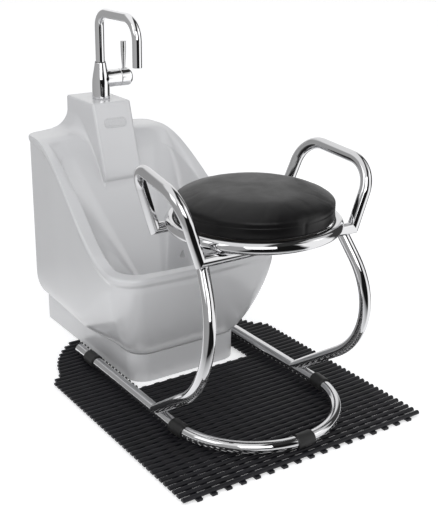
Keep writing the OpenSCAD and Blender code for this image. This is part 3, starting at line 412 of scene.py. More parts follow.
def outline(back_half, front_half, back, front, back_r, front_r, bow):
    """A rounded outline as [x, depth]: its right half from the middle of the back to the middle of
    the front is a straight back, a quarter round, a straight side, a quarter round and a bowed
    front, and the left half mirrors it."""
    t, u = (np.linspace(0, 1, OUTLINE_STEPS[k], endpoint=False) for k in (0, 2))
    a, b = (np.linspace(0, math.pi / 2, OUTLINE_STEPS[k], endpoint=False) for k in (1, 3))
    v = 1 - np.linspace(0, 1, OUTLINE_STEPS[4])
    x_back, x_front, d_front = back_half - back_r, front_half - front_r, front - front_r
    half = np.concatenate([np.stack(part, -1) for part in (
        (x_back * t, np.full_like(t, back)),
        (x_back + back_r * np.sin(a), back + back_r - back_r * np.cos(a)),
        (mix(back_half, front_half, u), mix(back + back_r, d_front, u)),
        (x_front + front_r * np.cos(b), d_front + front_r * np.sin(b)),
        (x_front * v, front + bow * (1 - v * v)))])
    return np.concatenate([half, half[-2:0:-1] * np.array([-1.0, 1.0])])


def soft_min(a, b, r):
    """The lower of a and b, rounded where they differ by less than r: the blend takes off
    (1 - |a - b| / r)^2 r / 4."""
    h = np.maximum(r - np.abs(a - b), 0) / r
    return np.minimum(a, b) - h * h * r / 4


BASIN_LENGTH = 0.578
FRONT_BOW = 0.008
# Depths of the shoulders' front edge and of the waste.
SHOULDER_DEPTH = 0.135
WASTE_DEPTH = 0.385
# Height over which the wall runs out into the lip's face.
COVE = 0.006
# Height over which the shoulders and the slope round into each other.
SLOPE_BLEND = 0.055
# Fall of slope_rise at k = 1, which the shoulders carry on upwards.
SLOPE_FALL = 1.074


def slope_rise(k):
    """Rise of the slope at the back of the bowl, a share k of the way out from the waste."""
    return 1.08 * k * k / (k + 0.08)


class BasinForm:
    """The basin's numbers and the heights that follow from them, all in metres."""

    def __init__(self, p):
        front = BASIN_LENGTH - FRONT_BOW
        self.rim = outline(0.175, 0.220, 0.0, front, 0.030, 0.066, FRONT_BOW)
        self.wall = outline(0.170, 0.215, 0.0, front - 0.005, 0.025, 0.061, FRONT_BOW)
        self.mouth = outline(0.158, 0.218 - p.lip_width, SHOULDER_DEPTH, front - p.lip_width,
                             0.045, 0.0495, FRONT_BOW)
        self.foot = outline(0.141, 0.141, 0.018, 0.488, 0.020, 0.045, 0.0)
        self.roll = p.lip_roll
        self.face = p.lip_face
        self.low = 0.070
        self.floor = 0.110
        self.waste = np.array([0.0, WASTE_DEPTH])

    def rim_z(self, d):
        """Height of the rim at depth d: level at the back, a smooth fall, level at the front."""
        return mix(0.500, 0.293, smooth((d - 0.070) / 0.420))

    def lip_z(self, p):
        """The rim's height, and a rise of 12 mm towards the column on the shoulders."""
        x, d = p[..., 0], p[..., 1]
        rise = 0.012 * (1 - smooth(2 * np.abs(x) / 0.350)) * (1 - smooth(d / (1.4 * SHOULDER_DEPTH)))
        return self.rim_z(d) + rise

    def backness(self, d):
        """How much a point of the mouth belongs to the slope at the back of the bowl."""
        return 1 - smooth((d - SHOULDER_DEPTH) / (1.3 * SHOULDER_DEPTH))

    def outer(self, levels):
        """Outside wall: each point goes from the foot's outline to the one under the lip by the
        share (1 - (1 - h/full)^p)^(1/p) of its height h, rounder at the front than at the sides."""
        front = smooth((self.wall[:, 1] - 0.5 * BASIN_LENGTH) / (0.42 * BASIN_LENGTH))
        full, power = mix(0.062, 0.195, front), mix(2.0, 1.35, front)
        t = np.linspace(0, 1, levels)[:, None] ** 1.5
        h = (self.lip_z(self.wall) - self.face - COVE - self.low) * t
        rest = 1 - np.minimum(1, h / full)
        s = ((1 - rest ** power) ** (1 / power))[..., None]
        xy = mix(self.foot[None], self.wall[None], s)
        return np.concatenate([xy, (self.low + h)[..., None]], -1)

    def face_rows(self, levels):
        """The lip's outer face: a cove from the wall out to the rim's outline, then straight up."""
        t = np.linspace(0, 1, levels)[1:, None]
        out = smooth(t * 1.25)[..., None]
        drop = mix(self.face + COVE, self.roll, t)
        xy = mix(self.wall[None], self.rim[None], out)
        return np.concatenate([xy, (self.lip_z(self.rim)[None] - drop)[..., None]], -1)

    def slope_run(self):
        """Fall of the slope per metre at the mouth, and the height it starts from."""
        top = self.lip_z(self.mouth) - 0.010
        run = np.linalg.norm(self.mouth - self.waste, axis=1)
        return SLOPE_FALL * (top - self.floor) / run, top

    def lip(self, levels):
        """Lip and shoulders: level between quarter rounds of the roll's radius, and at the back
        rounded into the slope by the soft lower of the shoulder and the slope carried upwards."""
        s = np.linspace(0, 1, levels)
        s = (0.5 - 0.5 * np.cos(math.pi * s))[:, None]
        xy = mix(self.rim[None], self.mouth[None], s[..., None])
        width = np.linalg.norm(self.mouth - self.rim, axis=1)[None]

        def round_off(u):
            return self.roll * (1 - np.sqrt(1 - np.clip(1 - u / self.roll, 0, 1) ** 2))

        top = self.lip_z(xy)
        front = top - round_off(width * (1 - s))
        fall, start = self.slope_run()
        back = soft_min(top, start[None] + fall[None] * width * (1 - s), SLOPE_BLEND)
        z = mix(front, back, self.backness(self.mouth[:, 1])[None]) - round_off(width * s)
        return np.concatenate([xy, z[..., None]], -1)

    def bowl(self, levels):
        """Inside of the bowl: a share k of the way out from the waste, it has risen by
        1 - (1 - k^2.6)^(1/2.6) of its height, and by 1.08 k^2 / (k + 0.08) on the slope."""
        k = np.cos(np.linspace(0, math.pi / 2, levels + 1)[:-1])[:, None]
        top = self.lip_z(self.mouth)[None]
        wall = mix(self.floor, top - self.roll, 1 - (1 - k ** 2.6) ** (1 / 2.6))
        start = self.slope_run()[1][None]
        slope = soft_min(top, mix(self.floor, start, slope_rise(k)), SLOPE_BLEND)
        z = mix(wall, slope, self.backness(self.mouth[:, 1])[None])
        xy = mix(self.waste, self.mouth[None], k[..., None])
        return np.concatenate([xy, z[..., None]], -1)

    def ground(self, p):
        """Height of the shoulders and the slope under and around the column."""
        x, d = p[..., 0], p[..., 1]
        reach = WASTE_DEPTH - SHOULDER_DEPTH
        k = np.clip((WASTE_DEPTH - d) / reach, 0.05, 1)
        edge = self.lip_z(np.stack([x / k, np.full_like(x, SHOULDER_DEPTH)], -1))
        start = edge - 0.010
        inside = mix(self.floor, start, slope_rise(k))
        outside = start + SLOPE_FALL * (start - self.floor) / reach * (SHOULDER_DEPTH - d)
        on_lip = d < SHOULDER_DEPTH
        return soft_min(np.where(on_lip, self.lip_z(p), edge), np.where(on_lip, outside, inside),
                        SLOPE_BLEND)


def to_room(points):
    """[x, depth, z] to the room's x, y, z."""
    out = np.array(points, float)
    out[..., 1] = BACK - out[..., 1]
    return out


# Edges shorter than this come from the cuts, and are merged.
SLIVER = 2e-6


def combine(obj, operation, *others):
    """Adds closed pieces to a closed piece or takes them out of it, uses them up, and keeps the
    creases sharp. Stops if the result isn't closed."""
    for other in others:
        mod = obj.modifiers.new("combine", "BOOLEAN")
        mod.operation, mod.solver, mod.object = operation, "EXACT", other
        graph = bpy.context.evaluated_depsgraph_get()
        done = bpy.data.meshes.new_from_object(obj.evaluated_get(graph))
        obj.modifiers.remove(mod)
        obj.data = done
        bpy.data.objects.remove(other, do_unlink=True)
    bm = bmesh.new()
    bm.from_mesh(obj.data)
    bmesh.ops.remove_doubles(bm, verts=bm.verts, dist=SLIVER)
    bmesh.ops.dissolve_degenerate(bm, edges=bm.edges, dist=SLIVER)
    bm.to_mesh(obj.data)
    loose = sum(not edge.is_manifold for edge in bm.edges)
    bm.free()
    if loose:
        raise RuntimeError("%s has %d open edges" % (obj.name, loose))
    obj.data.shade_smooth()
    obj.data.set_sharp_from_angle(angle=math.radians(38))
    return obj


def prism(name, outline, half_width):
    """Prism across the basin from an outline [depth, height]."""
    o = np.array(outline, float)
    rows = [columns(len(o), x, o[:, 0], o[:, 1]) for x in (-half_width, half_width)]
    return face_outwards(shell(name, to_room(np.array(rows))))


def basin_bowl(p):
    """Bowl and outer wall as one closed skin."""
    form = BasinForm(p)
    rows = np.concatenate([form.outer(46), form.face_rows(12), form.lip(46)[1:], form.bowl(60)])
    return face_outwards(shell("basin_bowl", to_room(rows)))


COLUMN_TOP = 0.584
COLUMN_HALF = 0.054
# Height of the spout's outlet.
OUTLET = COLUMN_TOP + 0.102
# The column's leaning face: its depth at the top, and how much that grows per metre down.
FACE_DEPTH = 0.140
FACE_LEAN = 0.053 / 0.166


def column_face(z):
    """Depth of the column's leaning face at height z; its foot rolls back into the slope."""
    foot = np.clip((0.424 - z) / 0.026, 0, 1)
    return FACE_DEPTH + (COLUMN_TOP - z) * FACE_LEAN - 0.012 * (1 - np.sqrt(1 - foot ** 2))


def column_outline(z, p):
    """Points [x, depth] and outward directions of the column's plan at the heights z: straight
    sides, a soft right and a crisp left front corner, and the face."""
    turn = np.linspace(0, math.pi / 2, 10)
    side, across = np.linspace(0, 1, 48)[:-1], np.linspace(0, 1, 26)[1:-1]
    right, left = p.soft_edge, p.crisp_edge
    # Columns: x, share of the depth of the straight side, corner radius, extra depth, direction.
    parts = []
    for sign, r in ((1, right), (-1, left)):
        t, a = (side, turn) if sign > 0 else (side[::-1], turn[::-1])
        straight = columns(len(t), sign * COLUMN_HALF, t, r, 0, sign, 0)
        corner = columns(len(a), sign * (COLUMN_HALF - r + r * np.cos(a)), 1, r, r * np.sin(a),
                         sign * np.cos(a), np.sin(a))
        parts += [straight, corner] if sign > 0 else [corner, straight]
    x = mix(COLUMN_HALF - right, left - COLUMN_HALF, across)
    parts.insert(2, columns(len(x), x, 1, 0, 0, 0, 1))
    x, share, r, extra, *out = np.concatenate(parts).T
    depth = share * (column_face(z) - r) + extra
    return np.stack([np.broadcast_to(x, depth.shape), depth], -1), np.stack(out, -1)


def basin_column(p):
    """Tap column: its walls rise out of the shoulders and the slope through a sheared quarter
    round, p + n r (1 - cos a) at the height ground + r (1 - sin a), and end in a rolled top. The
    round's radius r falls from 42 mm at the back to 6 mm towards the bowl."""
    form = BasinForm(p)
    roll, low = 0.006, 0.45
    z = np.full(len(column_outline(np.array(low), p)[0]), low)
    n = len(z)
    for _ in range(60):
        xy, out = column_outline(z, p)
        r = mix(0.042, 0.006, smooth((xy[:, 1] - 0.046) / 0.085))
        z = 0.7 * z + 0.3 * np.clip(form.ground(xy) + r, 0.40, 0.57)
    foot = z - r

    def row(points, height):
        return columns(n, points[:, 0], points[:, 1], height)

    rows = []
    for extra, sink in ((0.003, 0.016), (0.003, 0.002)):
        q = xy + out * (r + extra)[:, None]
        rows.append(row(q, form.ground(q) - sink))
    for a in np.linspace(math.pi / 2, 0, 16):
        q = xy + out * (r * (1 - math.cos(a)))[:, None]
        rows.append(row(q, mix(foot, form.ground(q), math.sin(a)) + r * (1 - math.sin(a))))
    for t in np.linspace(0, 1, 34)[1:] ** 1.3:
        level = mix(z, COLUMN_TOP - roll, t)
        rows.append(row(column_outline(level, p)[0], level))
    top = column_outline(np.full(n, COLUMN_TOP - roll), p)[0]
    for a in np.linspace(0, math.pi / 2, 9)[1:]:
        rows.append(row(top - out * roll * (1 - math.cos(a)), COLUMN_TOP - roll + roll * math.sin(a)))
    inner = rows[-1][:, :2]
    centre = np.array([0.0, 0.075])
    for share in (0.85, 0.6, 0.3):
        rows.append(row(centre + (inner - centre) * share, COLUMN_TOP))
    rows = np.array(rows)
    # A hair off the plane of the bowl's back, which the cuts need.
    rows[..., 1] = np.maximum(rows[..., 1], 0.0003)
    return face_outwards(shell("column_form", to_room(rows)))


def basin_cutters(p):
    """The column's hollow, the service bay and the waste's recess, as closed cutters."""
    wall, out, low, under = 0.016, -0.001, 0.448, 0.069
    high = COLUMN_TOP - wall

    def inside(z):
        return FACE_DEPTH + (COLUMN_TOP - z) * FACE_LEAN - wall

    hollow = prism("hollow", [(out, low), (out, high), (inside(high), high), (inside(low), low)], 0.042)
    bay = prism("bay", [(out, under), (out, 0.472), (0.107, 0.472), (0.292, 0.206), (0.292, under)],
                0.118)
    recess = turned("recess", np.array([
        (0, under), (0.0751, under), (0.0751, 0.0975), (0.0235, 0.0975), (0.0235, 0.1095),
        (0.0365, 0.1095), (0.0365, 0.140), (0, 0.140)]), (0, BACK - WASTE_DEPTH, 0), "Z", 96)
    hole = turned("hole", np.array([(0, -0.020), (0.0175, -0.020), (0.0175, 0.003), (0, 0.003)]),
                  tap_origin(), "Z", 48)
    return hollow, bay, recess, hole


def badge_skin():
    """Blank badge on the leaning face: loops of a plate with round ends, each moved in and up, so
    that a fine groove runs round it inside its edge."""
    tilt = math.atan(FACE_LEAN)
    up = np.array([0, math.sin(tilt), math.cos(tilt)])
    out = np.array([0, -math.cos(tilt), math.sin(tilt)])
    centre = middle("badge_plate") - 0.0006 * out
    half_w, half_h, corner = 0.031, 0.012, 0.0105
    a = whole_turn(96) + math.pi / 96
    turn = np.stack([np.cos(a), np.sin(a)], -1)
    rows = []
    for inset, lift in ((0, -0.0004), (0, 0.0008), (0.0003, 0.0011), (0.0007, 0.0012), (0.0019, 0.0012),
                        (0.0023, 0.0009), (0.0029, 0.0009), (0.0033, 0.0012), (0.008, 0.0012)):
        r = max(corner - inset, 0.001)
        flat = np.sign(turn) * np.array([half_w - inset - r, half_h - inset - r]) + r * turn
        x, z = flat.T[..., None]
        rows.append(centre + x * np.array([1.0, 0, 0]) + z * up + lift * out)
    return face_outwards(shell("badge_skin", np.array(rows)))


# ---- tap


# Height of the mixer's axis above the tap's foot.
MIXER_RISE = 0.048


def tap_origin():
    """Foot of the tap's axis."""
    low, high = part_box("tap_gasket")
    return np.array([0.0, (low.y + high.y) / 2, low.z])


def tap_body_skin():
    """Flared pillar that narrows to a collar under the spout, and the mixer's housing beside it."""
    o = tap_origin()
    pillar = rounded_profile([
        (0.0, 0.0015, 0), (0.0219, 0.0015, 0.0004), (0.0225, 0.0030, 0.0008), (0.0225, 0.0324, 0.008),
        (0.02165, 0.0468, 0.008), (0.01927, 0.0612, 0.008), (0.01613, 0.0765, 0.008),
        (0.0141, 0.0890, 0.001), (0.0134, 0.0900, 0.0004), (0.0, 0.0900, 0.0)], 8)
    base = turned("pillar", pillar, o, "Z", 96)
    house = rounded_profile([
        (0.0, 0.004, 0), (0.0205, 0.004, 0.001), (0.0219, 0.010, 0.004), (0.0220, 0.0492, 0.0006),
        (0.0212, 0.0500, 0.0002), (0.0, 0.0500, 0.0)], 5)
    side = turned("housing", house, o + np.array([0, 0, MIXER_RISE]), "X", 96)
    return join("tap_body_skin", base, side)


def mixer_cap_skin():
    """Turned cap: a fine groove at the joint, a straight drum, a domed end and the lever's slot."""
    o = tap_origin()
    prof = rounded_profile([
        (0.0, 0.0, 0), (0.0210, 0.0, 0.0003), (0.0220, 0.0010, 0.0006), (0.0220, 0.0250, 0.004),
        (0.0200, 0.0300, 0.003), (0.0150, 0.0328, 0.003), (0.0090, 0.0340, 0.003),
        (0.0, 0.0340, 0.0)], 7)
    cap = turned("mixer_cap_skin", prof, o + np.array([0.0506, 0, MIXER_RISE]), "X", 96)
    corners = (0.0596, -0.0050), (0.0800, -0.0050), (0.0800, 0.0050), (0.0596, 0.0050)
    slot = np.array([[(x, y, z) for x, y in corners] for z in (0.052, 0.098)])
    return combine(cap, "DIFFERENCE", face_outwards(shell("lever_slot", slot + o)))


def lever_skin():
    """Lever: a thin neck on its pivot that swells to a slim rod with a flat, softly edged top."""
    o = tap_origin() + np.array([0.0, 0.0, MIXER_RISE])
    o[0] = middle("mixer_lever")[0]
    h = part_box("mixer_lever")[1].z - o[2]
    prof = rounded_profile([
        (0.0, 0.0, 0), (0.0040, 0.0, 0.0004), (0.0040, 0.0240, 0.002), (0.0045, 0.0290, 0.004),
        (0.0060, 0.0495, 0.010), (0.0070, 0.0693, 0.008), (0.0070, h - 0.0006, 0.0005),
        (0.0063, h, 0.0004), (0.0, h, 0)], 6)
    rod = turned("lever_rod", prof, o, "Z", 48)
    knuckle = rounded_profile([(0.0, -0.0048, 0), (0.0055, -0.0048, 0.0006), (0.0060, -0.0042, 0.0004),
                               (0.0060, 0.0042, 0.0004), (0.0055, 0.0048, 0.0006), (0.0, 0.0048, 0)], 4)
    return join("lever_skin", rod, turned("lever_knuckle", knuckle, o, "Y", 40))


def spout_skin():
    """Swan neck: one tube with two bends, its mouth turned in to a short bore."""
    low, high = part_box("spout")
    r = 0.0115
    y_back, y_front, top = high.y - r, low.y + r, high.z - r
    foot = tap_origin()[2] + 0.0902
    path = arc_path([(0, y_back, foot), (0, y_back, top), (0, y_front, top), (0, y_front, OUTLET)],
                    [0, 0.034, 0.050, 0])
    s = np.concatenate([[0, 0.002], np.linspace(0.004, 0.994, 150), [0.9965, 0.9985, 0.9997, 1.0]])
    rr = np.concatenate([np.full(153, r), r - np.array([0.0001, 0.0004, 0.0010])])
    outer = swept(path, rr, s, 56)
    inner = swept(path, np.full(4, r - 0.0016), np.array([1.0, 0.997, 0.985, 0.97]), 56)
    return face_outwards(shell("spout_skin", np.concatenate([outer, inner])))


def aerator_skin():
    """Aerator in the spout's mouth: a ring round a recessed disc."""
    x, y, _ = middle("aerator")
    prof = rounded_profile([
        (0.0, 0.0016, 0), (0.0078, 0.0016, 0.0004), (0.0082, 0.0002, 0.0004), (0.0095, 0.0002, 0.0005),
        (0.0097, 0.0020, 0.0004), (0.0097, 0.0080, 0.0004), (0.0, 0.0080, 0)], 4)
    return turned("aerator_skin", prof, (x, y, OUTLET), "Z", 48)


# ---- seat


def cushion_profile(p):
    """Half section of the cushion [radius, height above its underside] with the row of its seam.
    The crown follows (1 - (r/R)^3)^(1/3); the band is drawn in a little at its middle."""
    R, band, crown = p.cushion_radius, p.cushion_band, p.cushion_crown
    bottom = np.stack([np.linspace(0.0, R - 0.006, 22)[1:], np.zeros(21)], -1)
    a = np.linspace(-math.pi / 2, 0, 7)[1:]
    heel = np.stack([R - 0.006 + 0.006 * np.cos(a), 0.006 + 0.006 * np.sin(a)], -1)
    t = np.linspace(0, 1, 14)[1:]
    side = np.stack([R - 0.0012 * np.sin(math.pi * t), mix(0.006, band, t)], -1)
    t = np.linspace(0, 1, 44)[1:]
    u = np.sin(math.pi / 2 * t) ** 1.15
    r = R * np.cos(math.pi / 2 * u)
    top = np.stack([r, band + crown * (1 - (r / R) ** 3) ** (1 / 3)], -1)
    rows = np.concatenate([bottom, heel, side, top[:-1]])
    return rows, len(bottom) + len(heel) + len(side) - 1


def inflate(obj, pinned, cap, rings, frames=20):
    """Swells a closed cover with cloth pressure, holds the pinned vertices, limits every
    vertex's travel to cap and leaves the plain mesh. The travel of a vertex is drawn towards the
    mean of its ring, so that a taut cover keeps only a fifth of its creases."""
    start = read_points(obj.data)
    group = obj.vertex_groups.new(name="held")
    group.add([int(i) for i in pinned], 1.0, "REPLACE")
    mod = obj.modifiers.new("stuffing", "CLOTH")
    s = mod.settings
    s.quality = 5
    s.mass = 0.3
    s.tension_stiffness = s.compression_stiffness = 25
    s.shear_stiffness = 12
    s.bending_stiffness = 1.2
    s.use_pressure = True
    s.uniform_pressure_force = 4.0
    s.vertex_group_mass = "held"
    s.effector_weights.gravity = 0
    mod.point_cache.frame_start, mod.point_cache.frame_end = 1, frames
    scene = bpy.context.scene
    for f in range(1, frames + 1):
        scene.frame_set(f)
    step = read_points(obj.evaluated_get(bpy.context.evaluated_depsgraph_get()).data) - start
    obj.modifiers.remove(mod)
    scene.frame_set(1)
    length = np.linalg.norm(step, axis=1)[:, None]
    step *= np.minimum(1, cap / np.maximum(length, 1e-9))
    rows, cols = rings
    ring = step[:rows * cols].reshape(rows, cols, 3)
    a = whole_turn(cols)
    out = np.stack([np.cos(a), np.sin(a)], -1)
    radial = (ring[..., :2] * out).sum(-1)
    even = np.concatenate([out[None] * radial.mean(1)[:, None, None],
                           np.broadcast_to(ring[..., 2].mean(1)[:, None, None], (rows, cols, 1))], -1)
    ring[:] = mix(even, ring, 0.2)
    obj.data.vertices.foreach_set("co", (start + step).ravel())
    obj.vertex_groups.clear()


def cushion_skin(p):
    """Round cushion: the cover is swelled by its stuffing, then the seam round the top of the band
    and the band's joint are drawn in, with the small puckers that a seam gathers."""
    low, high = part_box("seat_cushion")
    cx, cy, _ = middle("seat_cushion")
    rows, seam = cushion_profile(p)
    cols = 216
    a = whole_turn(cols)
    out = np.stack([np.cos(a), np.sin(a), np.zeros_like(a)], -1)[None]
    grid = rows[:, :1, None] * out
    grid[..., 2] = rows[:, 1:]
    obj = shell("cushion_skin", grid + np.array([cx, cy, low.z]))
    n_rows = len(rows)
    underside = np.arange(24 * cols)
    seam_ring = np.arange(seam * cols, (seam + 1) * cols)
    inflate(obj, np.concatenate([underside, seam_ring, [n_rows * cols]]), p.swell, (n_rows, cols))
    co = read_points(obj.data)
    g = co[: n_rows * cols].reshape(n_rows, cols, 3)

    def at_joint(turn, width):
        """1 where the band's joint is, turned by turn, falling off over width radians."""
        return np.exp(-(np.angle(np.exp(1j * (a - p.band_joint - turn))) / width) ** 2)

    rng = np.random.default_rng(7)
    pucker = sum(rng.uniform(0.3, 1.0) * np.cos(k * a + rng.uniform(0, 6.28))
                 for k in (17, 29, 41, 53, 71)) / 3
    above = np.arange(n_rows)[:, None] - seam
    line = np.exp(-(above / 0.8) ** 2)
    gather = np.exp(-(np.abs(above) / 4.0) ** 1.4) * (above != 0)
    drawn = 0.0016 * line + 0.0005 * gather * (pucker + 2.2 * at_joint(0, 0.06))
    g -= out * drawn[..., None]
    g[..., 2] -= 0.0009 * line + 0.0004 * gather * pucker * (above > 0)
    on_band = smooth((above + 17) / 3.0) * (above <= 0)
    g -= out * (0.0013 * on_band * (at_joint(0, 0.008) + at_joint(math.pi, 0.008)))[..., None]
    wave = np.cos(3 * a + 0.7) * 0.6 + np.cos(5 * a + 2.1) * 0.4
    reach = np.hypot(g[..., 0] - cx, g[..., 1] - cy) / p.cushion_radius
    g[..., 2] += 0.0008 * smooth((above - 4) / 14.0) * smooth(reach / 0.6) * wave
    co[: n_rows * cols] = g.reshape(-1, 3)
    co[:, 2] = np.clip(co[:, 2], low.z, high.z + 0.002)
    obj.data.vertices.foreach_set("co", co.ravel())
    face_outwards(obj)
    sub = obj.modifiers.new("round", "SUBSURF")
    sub.levels = sub.render_levels = 1
    return obj


# ---- settings


COLOR = {"subtype": "COLOR", "size": 3, "min": 0, "max": 1}


class BasinSettings(bpy.types.PropertyGroup):
    lip_width: FloatProperty(
        name="Lip width", description="Width of the lip",
        default=0.033, min=0.028, max=0.04, unit="LENGTH")
    lip_roll: FloatProperty(
        name="Lip roll", description="Radius of the lip's two edges",
        default=0.007, min=0.004, max=0.009, unit="LENGTH")
    lip_face: FloatProperty(
        name="Lip face", description="Height of the lip's outer face",
        default=0.017, min=0.014, max=0.022, unit="LENGTH")
    crisp_edge: FloatProperty(
        name="Left edge", description="Radius of the column's left front edge",
        default=0.0065, min=0.0062, max=0.01, unit="LENGTH")
    soft_edge: FloatProperty(
        name="Right edge", description="Radius of the column's right front edge",
        default=0.012, min=0.004, max=0.02, unit="LENGTH")
    color: FloatVectorProperty(
        name="Glaze", description="Colour of the glaze", default=(0.66, 0.66, 0.668), **COLOR)


class TapSettings(bpy.types.PropertyGroup):
    color: FloatVectorProperty(
        name="Chrome", description="Tint of the chrome", default=(0.82, 0.82, 0.83), **COLOR)
    tube_color: FloatVectorProperty(
        name="Tubes", description="Tint of the frame's tubes", default=(0.66, 0.66, 0.67), **COLOR)
    roughness: FloatProperty(
        name="Polish", description="Roughness of the chrome", default=0.04, min=0.02, max=0.3)


class SeatSettings(bpy.types.PropertyGroup):
    cushion_radius: FloatProperty(
        name="Radius", description="Radius of the cushion",
        default=0.1645, min=0.15, max=0.168, unit="LENGTH")
    cushion_band: FloatProperty(
        name="Band", description="Height of the side band",
        default=0.025, min=0.02, max=0.032, unit="LENGTH")
    cushion_crown: FloatProperty(
        name="Crown", description="Rise of the top above the band",
        default=0.034, min=0.02, max=0.036, unit="LENGTH")
    swell: FloatProperty(
        name="Swell", description="Most that the stuffing lifts the cover",
        default=0.003, min=0.0, max=0.01, unit="LENGTH")
    band_joint: FloatProperty(
        name="Joint", description="Where the band's joint is", default=-1.57, subtype="ANGLE")
    color: FloatVectorProperty(
        name="Cover", description="Colour of the cover", default=(0.0045, 0.0042, 0.0046), **COLOR)


class MatSettings(bpy.types.PropertyGroup):
    color: FloatVectorProperty(
        name="Rubber", description="Colour of the mat", default=(0.0045, 0.0043, 0.007), **COLOR)
    roughness: FloatProperty(
        name="Roughness", description="Roughness of the mat", default=0.5, min=0.2, max=0.9)


class StageSettings(bpy.types.PropertyGroup):
    floor: FloatVectorProperty(
        name="Floor", description="Colour of the floor", default=(0.9, 0.9, 0.9), **COLOR)
    daylight: FloatProperty(
        name="Daylight", description="Strength of the room's light", default=0.66, min=0, max=2)


# ---- operators


class FOOTBASIN_OT_basin(bpy.types.Operator):
    """Shape the glazed basin and its tap column, and glaze the plinth"""

    bl_idname = "footbasin.basin"
    bl_label = "Basin"

    def execute(self, context):
        p = context.scene.footbasin_basin
        mat = glaze("glaze", tuple(p.color))
        skin = combine(basin_bowl(p), "UNION", basin_column(p))
        combine(skin, "DIFFERENCE", *basin_cutters(p))
        skin.name = skin.data.name = "basin_skin"
        place(skin, "basin", "glazed_body", mat, "basin_shell")
        finish(glaze("plinth_glaze", shade(p.color, 0.98)), "plinth")
        blank = moulded("badge_blank", shade(p.color, 0.92), 0.28)
        place(badge_skin(), "basin", "badge", blank, "badge_plate")
        return {"FINISHED"}


class FOOTBASIN_OT_drain(bpy.types.Operator):
    """Finish the waste, the trap and the pipes"""

    bl_idname = "footbasin.drain"
    bl_label = "Drain"

    def execute(self, context):
        finish(chrome("waste_chrome", (0.78, 0.78, 0.79), 0.09), "waste_flange", "waste_plug")
        finish(moulded("drain_plastic", (0.62, 0.62, 0.6), 0.4),
               "waste_nut", "trap_body", "trap_nut", "waste_pipe")
        finish(rubber("seal_rubber", (0.02, 0.02, 0.02), 0.6), "waste_seal", "tap_washer", "spout_seal")
        finish(moulded("gasket_plastic", (0.5, 0.5, 0.51), 0.35), "tap_gasket")
        finish(worn_metal("brass", (0.62, 0.43, 0.2), 0.3),
               "tap_shank", "tap_nut", "supply_pipes", "supply_nuts")
        return {"FINISHED"}


class FOOTBASIN_OT_tap(bpy.types.Operator):
    """Turn the tap's body, cap and lever, and bend its spout"""

    bl_idname = "footbasin.tap"
    bl_label = "Tap"

    def execute(self, context):
        p = context.scene.footbasin_tap
        mat = chrome("tap_chrome", tuple(p.color), p.roughness)
        place(tap_body_skin(), "basin", "tap_chrome", mat, "tap_body")
        place(mixer_cap_skin(), "mixer", "tap_chrome", mat, "mixer_cap")
        place(lever_skin(), "lever", "tap_chrome", mat, "mixer_lever")
        place(spout_skin(), "swan_neck", "tap_chrome", mat, "spout")
        plastic = moulded("aerator_plastic", (0.3, 0.3, 0.3), 0.4)
        place(aerator_skin(), "swan_neck", "drain_plastic", plastic, "aerator")
        finish(worn_metal("cartridge_metal", (0.5, 0.5, 0.5), 0.35), "mixer_cartridge")
        return {"FINISHED"}


class FOOTBASIN_OT_seat_frame(bpy.types.Operator):
    """Chrome the frame's tubes and finish its sleeves, plugs and plates"""

    bl_idname = "footbasin.seat_frame"
    bl_label = "Seat frame"

    def execute(self, context):
        p = context.scene.footbasin_tap
        finish(chrome("frame_chrome", tuple(p.tube_color), 0.055),
               "floor_ring", "leg_left", "leg_right", "front_cross_tube", "back_cross_tube",
               "seat_ring", "grip_left", "grip_right")
        finish(rubber("sleeve_rubber", (0.014, 0.014, 0.014), 0.5),
               "rail_plugs", "rail_sleeves", "ring_sleeves")
        finish(worn_metal("plated_steel", (0.5, 0.5, 0.5), 0.32),
               "bridge_plate", "bridge_bolts", "swivel_base", "swivel_balls", "swivel_pin",
               "swivel_top", "seat_screws")
        return {"FINISHED"}


class FOOTBASIN_OT_seat(bpy.types.Operator):
    """Upholster the round seat and finish its board"""

    bl_idname = "footbasin.seat"
    bl_label = "Seat"

    def execute(self, context):
        p = context.scene.footbasin_seat
        mat = leathercloth("cushion_cover", tuple(p.color), 0.38)
        cushion = place(cushion_skin(p), "seat", "cushion", mat, "seat_cushion", "seat_piping")
        finish(plywood("stained_ply", (0.035, 0.03, 0.027)), "seat_board")
        return {"FINISHED"}


class FOOTBASIN_OT_mat(bpy.types.Operator):
    """Finish the ribbed mat"""

    bl_idname = "footbasin.mat"
    bl_label = "Mat"

    def execute(self, context):
        p = context.scene.footbasin_mat
        mat = rubber("mat_rubber", tuple(p.color), p.roughness, 500.0)
        finish(mat, "mat_ribs", "mat_bars")
        return {"FINISHED"}


class FOOTBASIN_OT_stage(bpy.types.Operator):
    """Set the floor, the soft light and the camera"""

    bl_idname = "footbasin.stage"
    bl_label = "Stage"

    def execute(self, context):
        p = context.scene.footbasin_stage
        scene = context.scene
        scene.view_settings.view_transform = "Standard"
        floor = new_object("floor", [(x, y, FLOOR_LEVEL) for x, y in (
            (-FLOOR_REACH, -FLOOR_REACH), (FLOOR_REACH, -FLOOR_REACH),
            (FLOOR_REACH, FLOOR_REACH), (-FLOOR_REACH, FLOOR_REACH))], [(0, 1, 2, 3)])
        floor.data.materials.append(floor_paint(tuple(p.floor)))
        room_light(scene, p.daylight)
        for name, spot, aim, size, power in SOFTBOXES:
            data = bpy.data.lights.new(name, "AREA")
            data.shape, data.size, data.energy = "SQUARE", size, power
            lamp = add_object(name, data)
            lamp.location = spot
            lamp.rotation_euler = (Vector(aim) - Vector(spot)).to_track_quat("-Z", "Y").to_euler()
        scene.camera = studio_camera()
        return {"FINISHED"}


# ---- stage


FLOOR_LEVEL, FLOOR_REACH = -0.0005, 30
# How much the floor glows on its own, and over which distances from the set's middle metal sees
# the studio's wall in place of the floor.
FLOOR_GLOW = 0.42
WALL_FROM, WALL_FULL = 0.45, 0.9
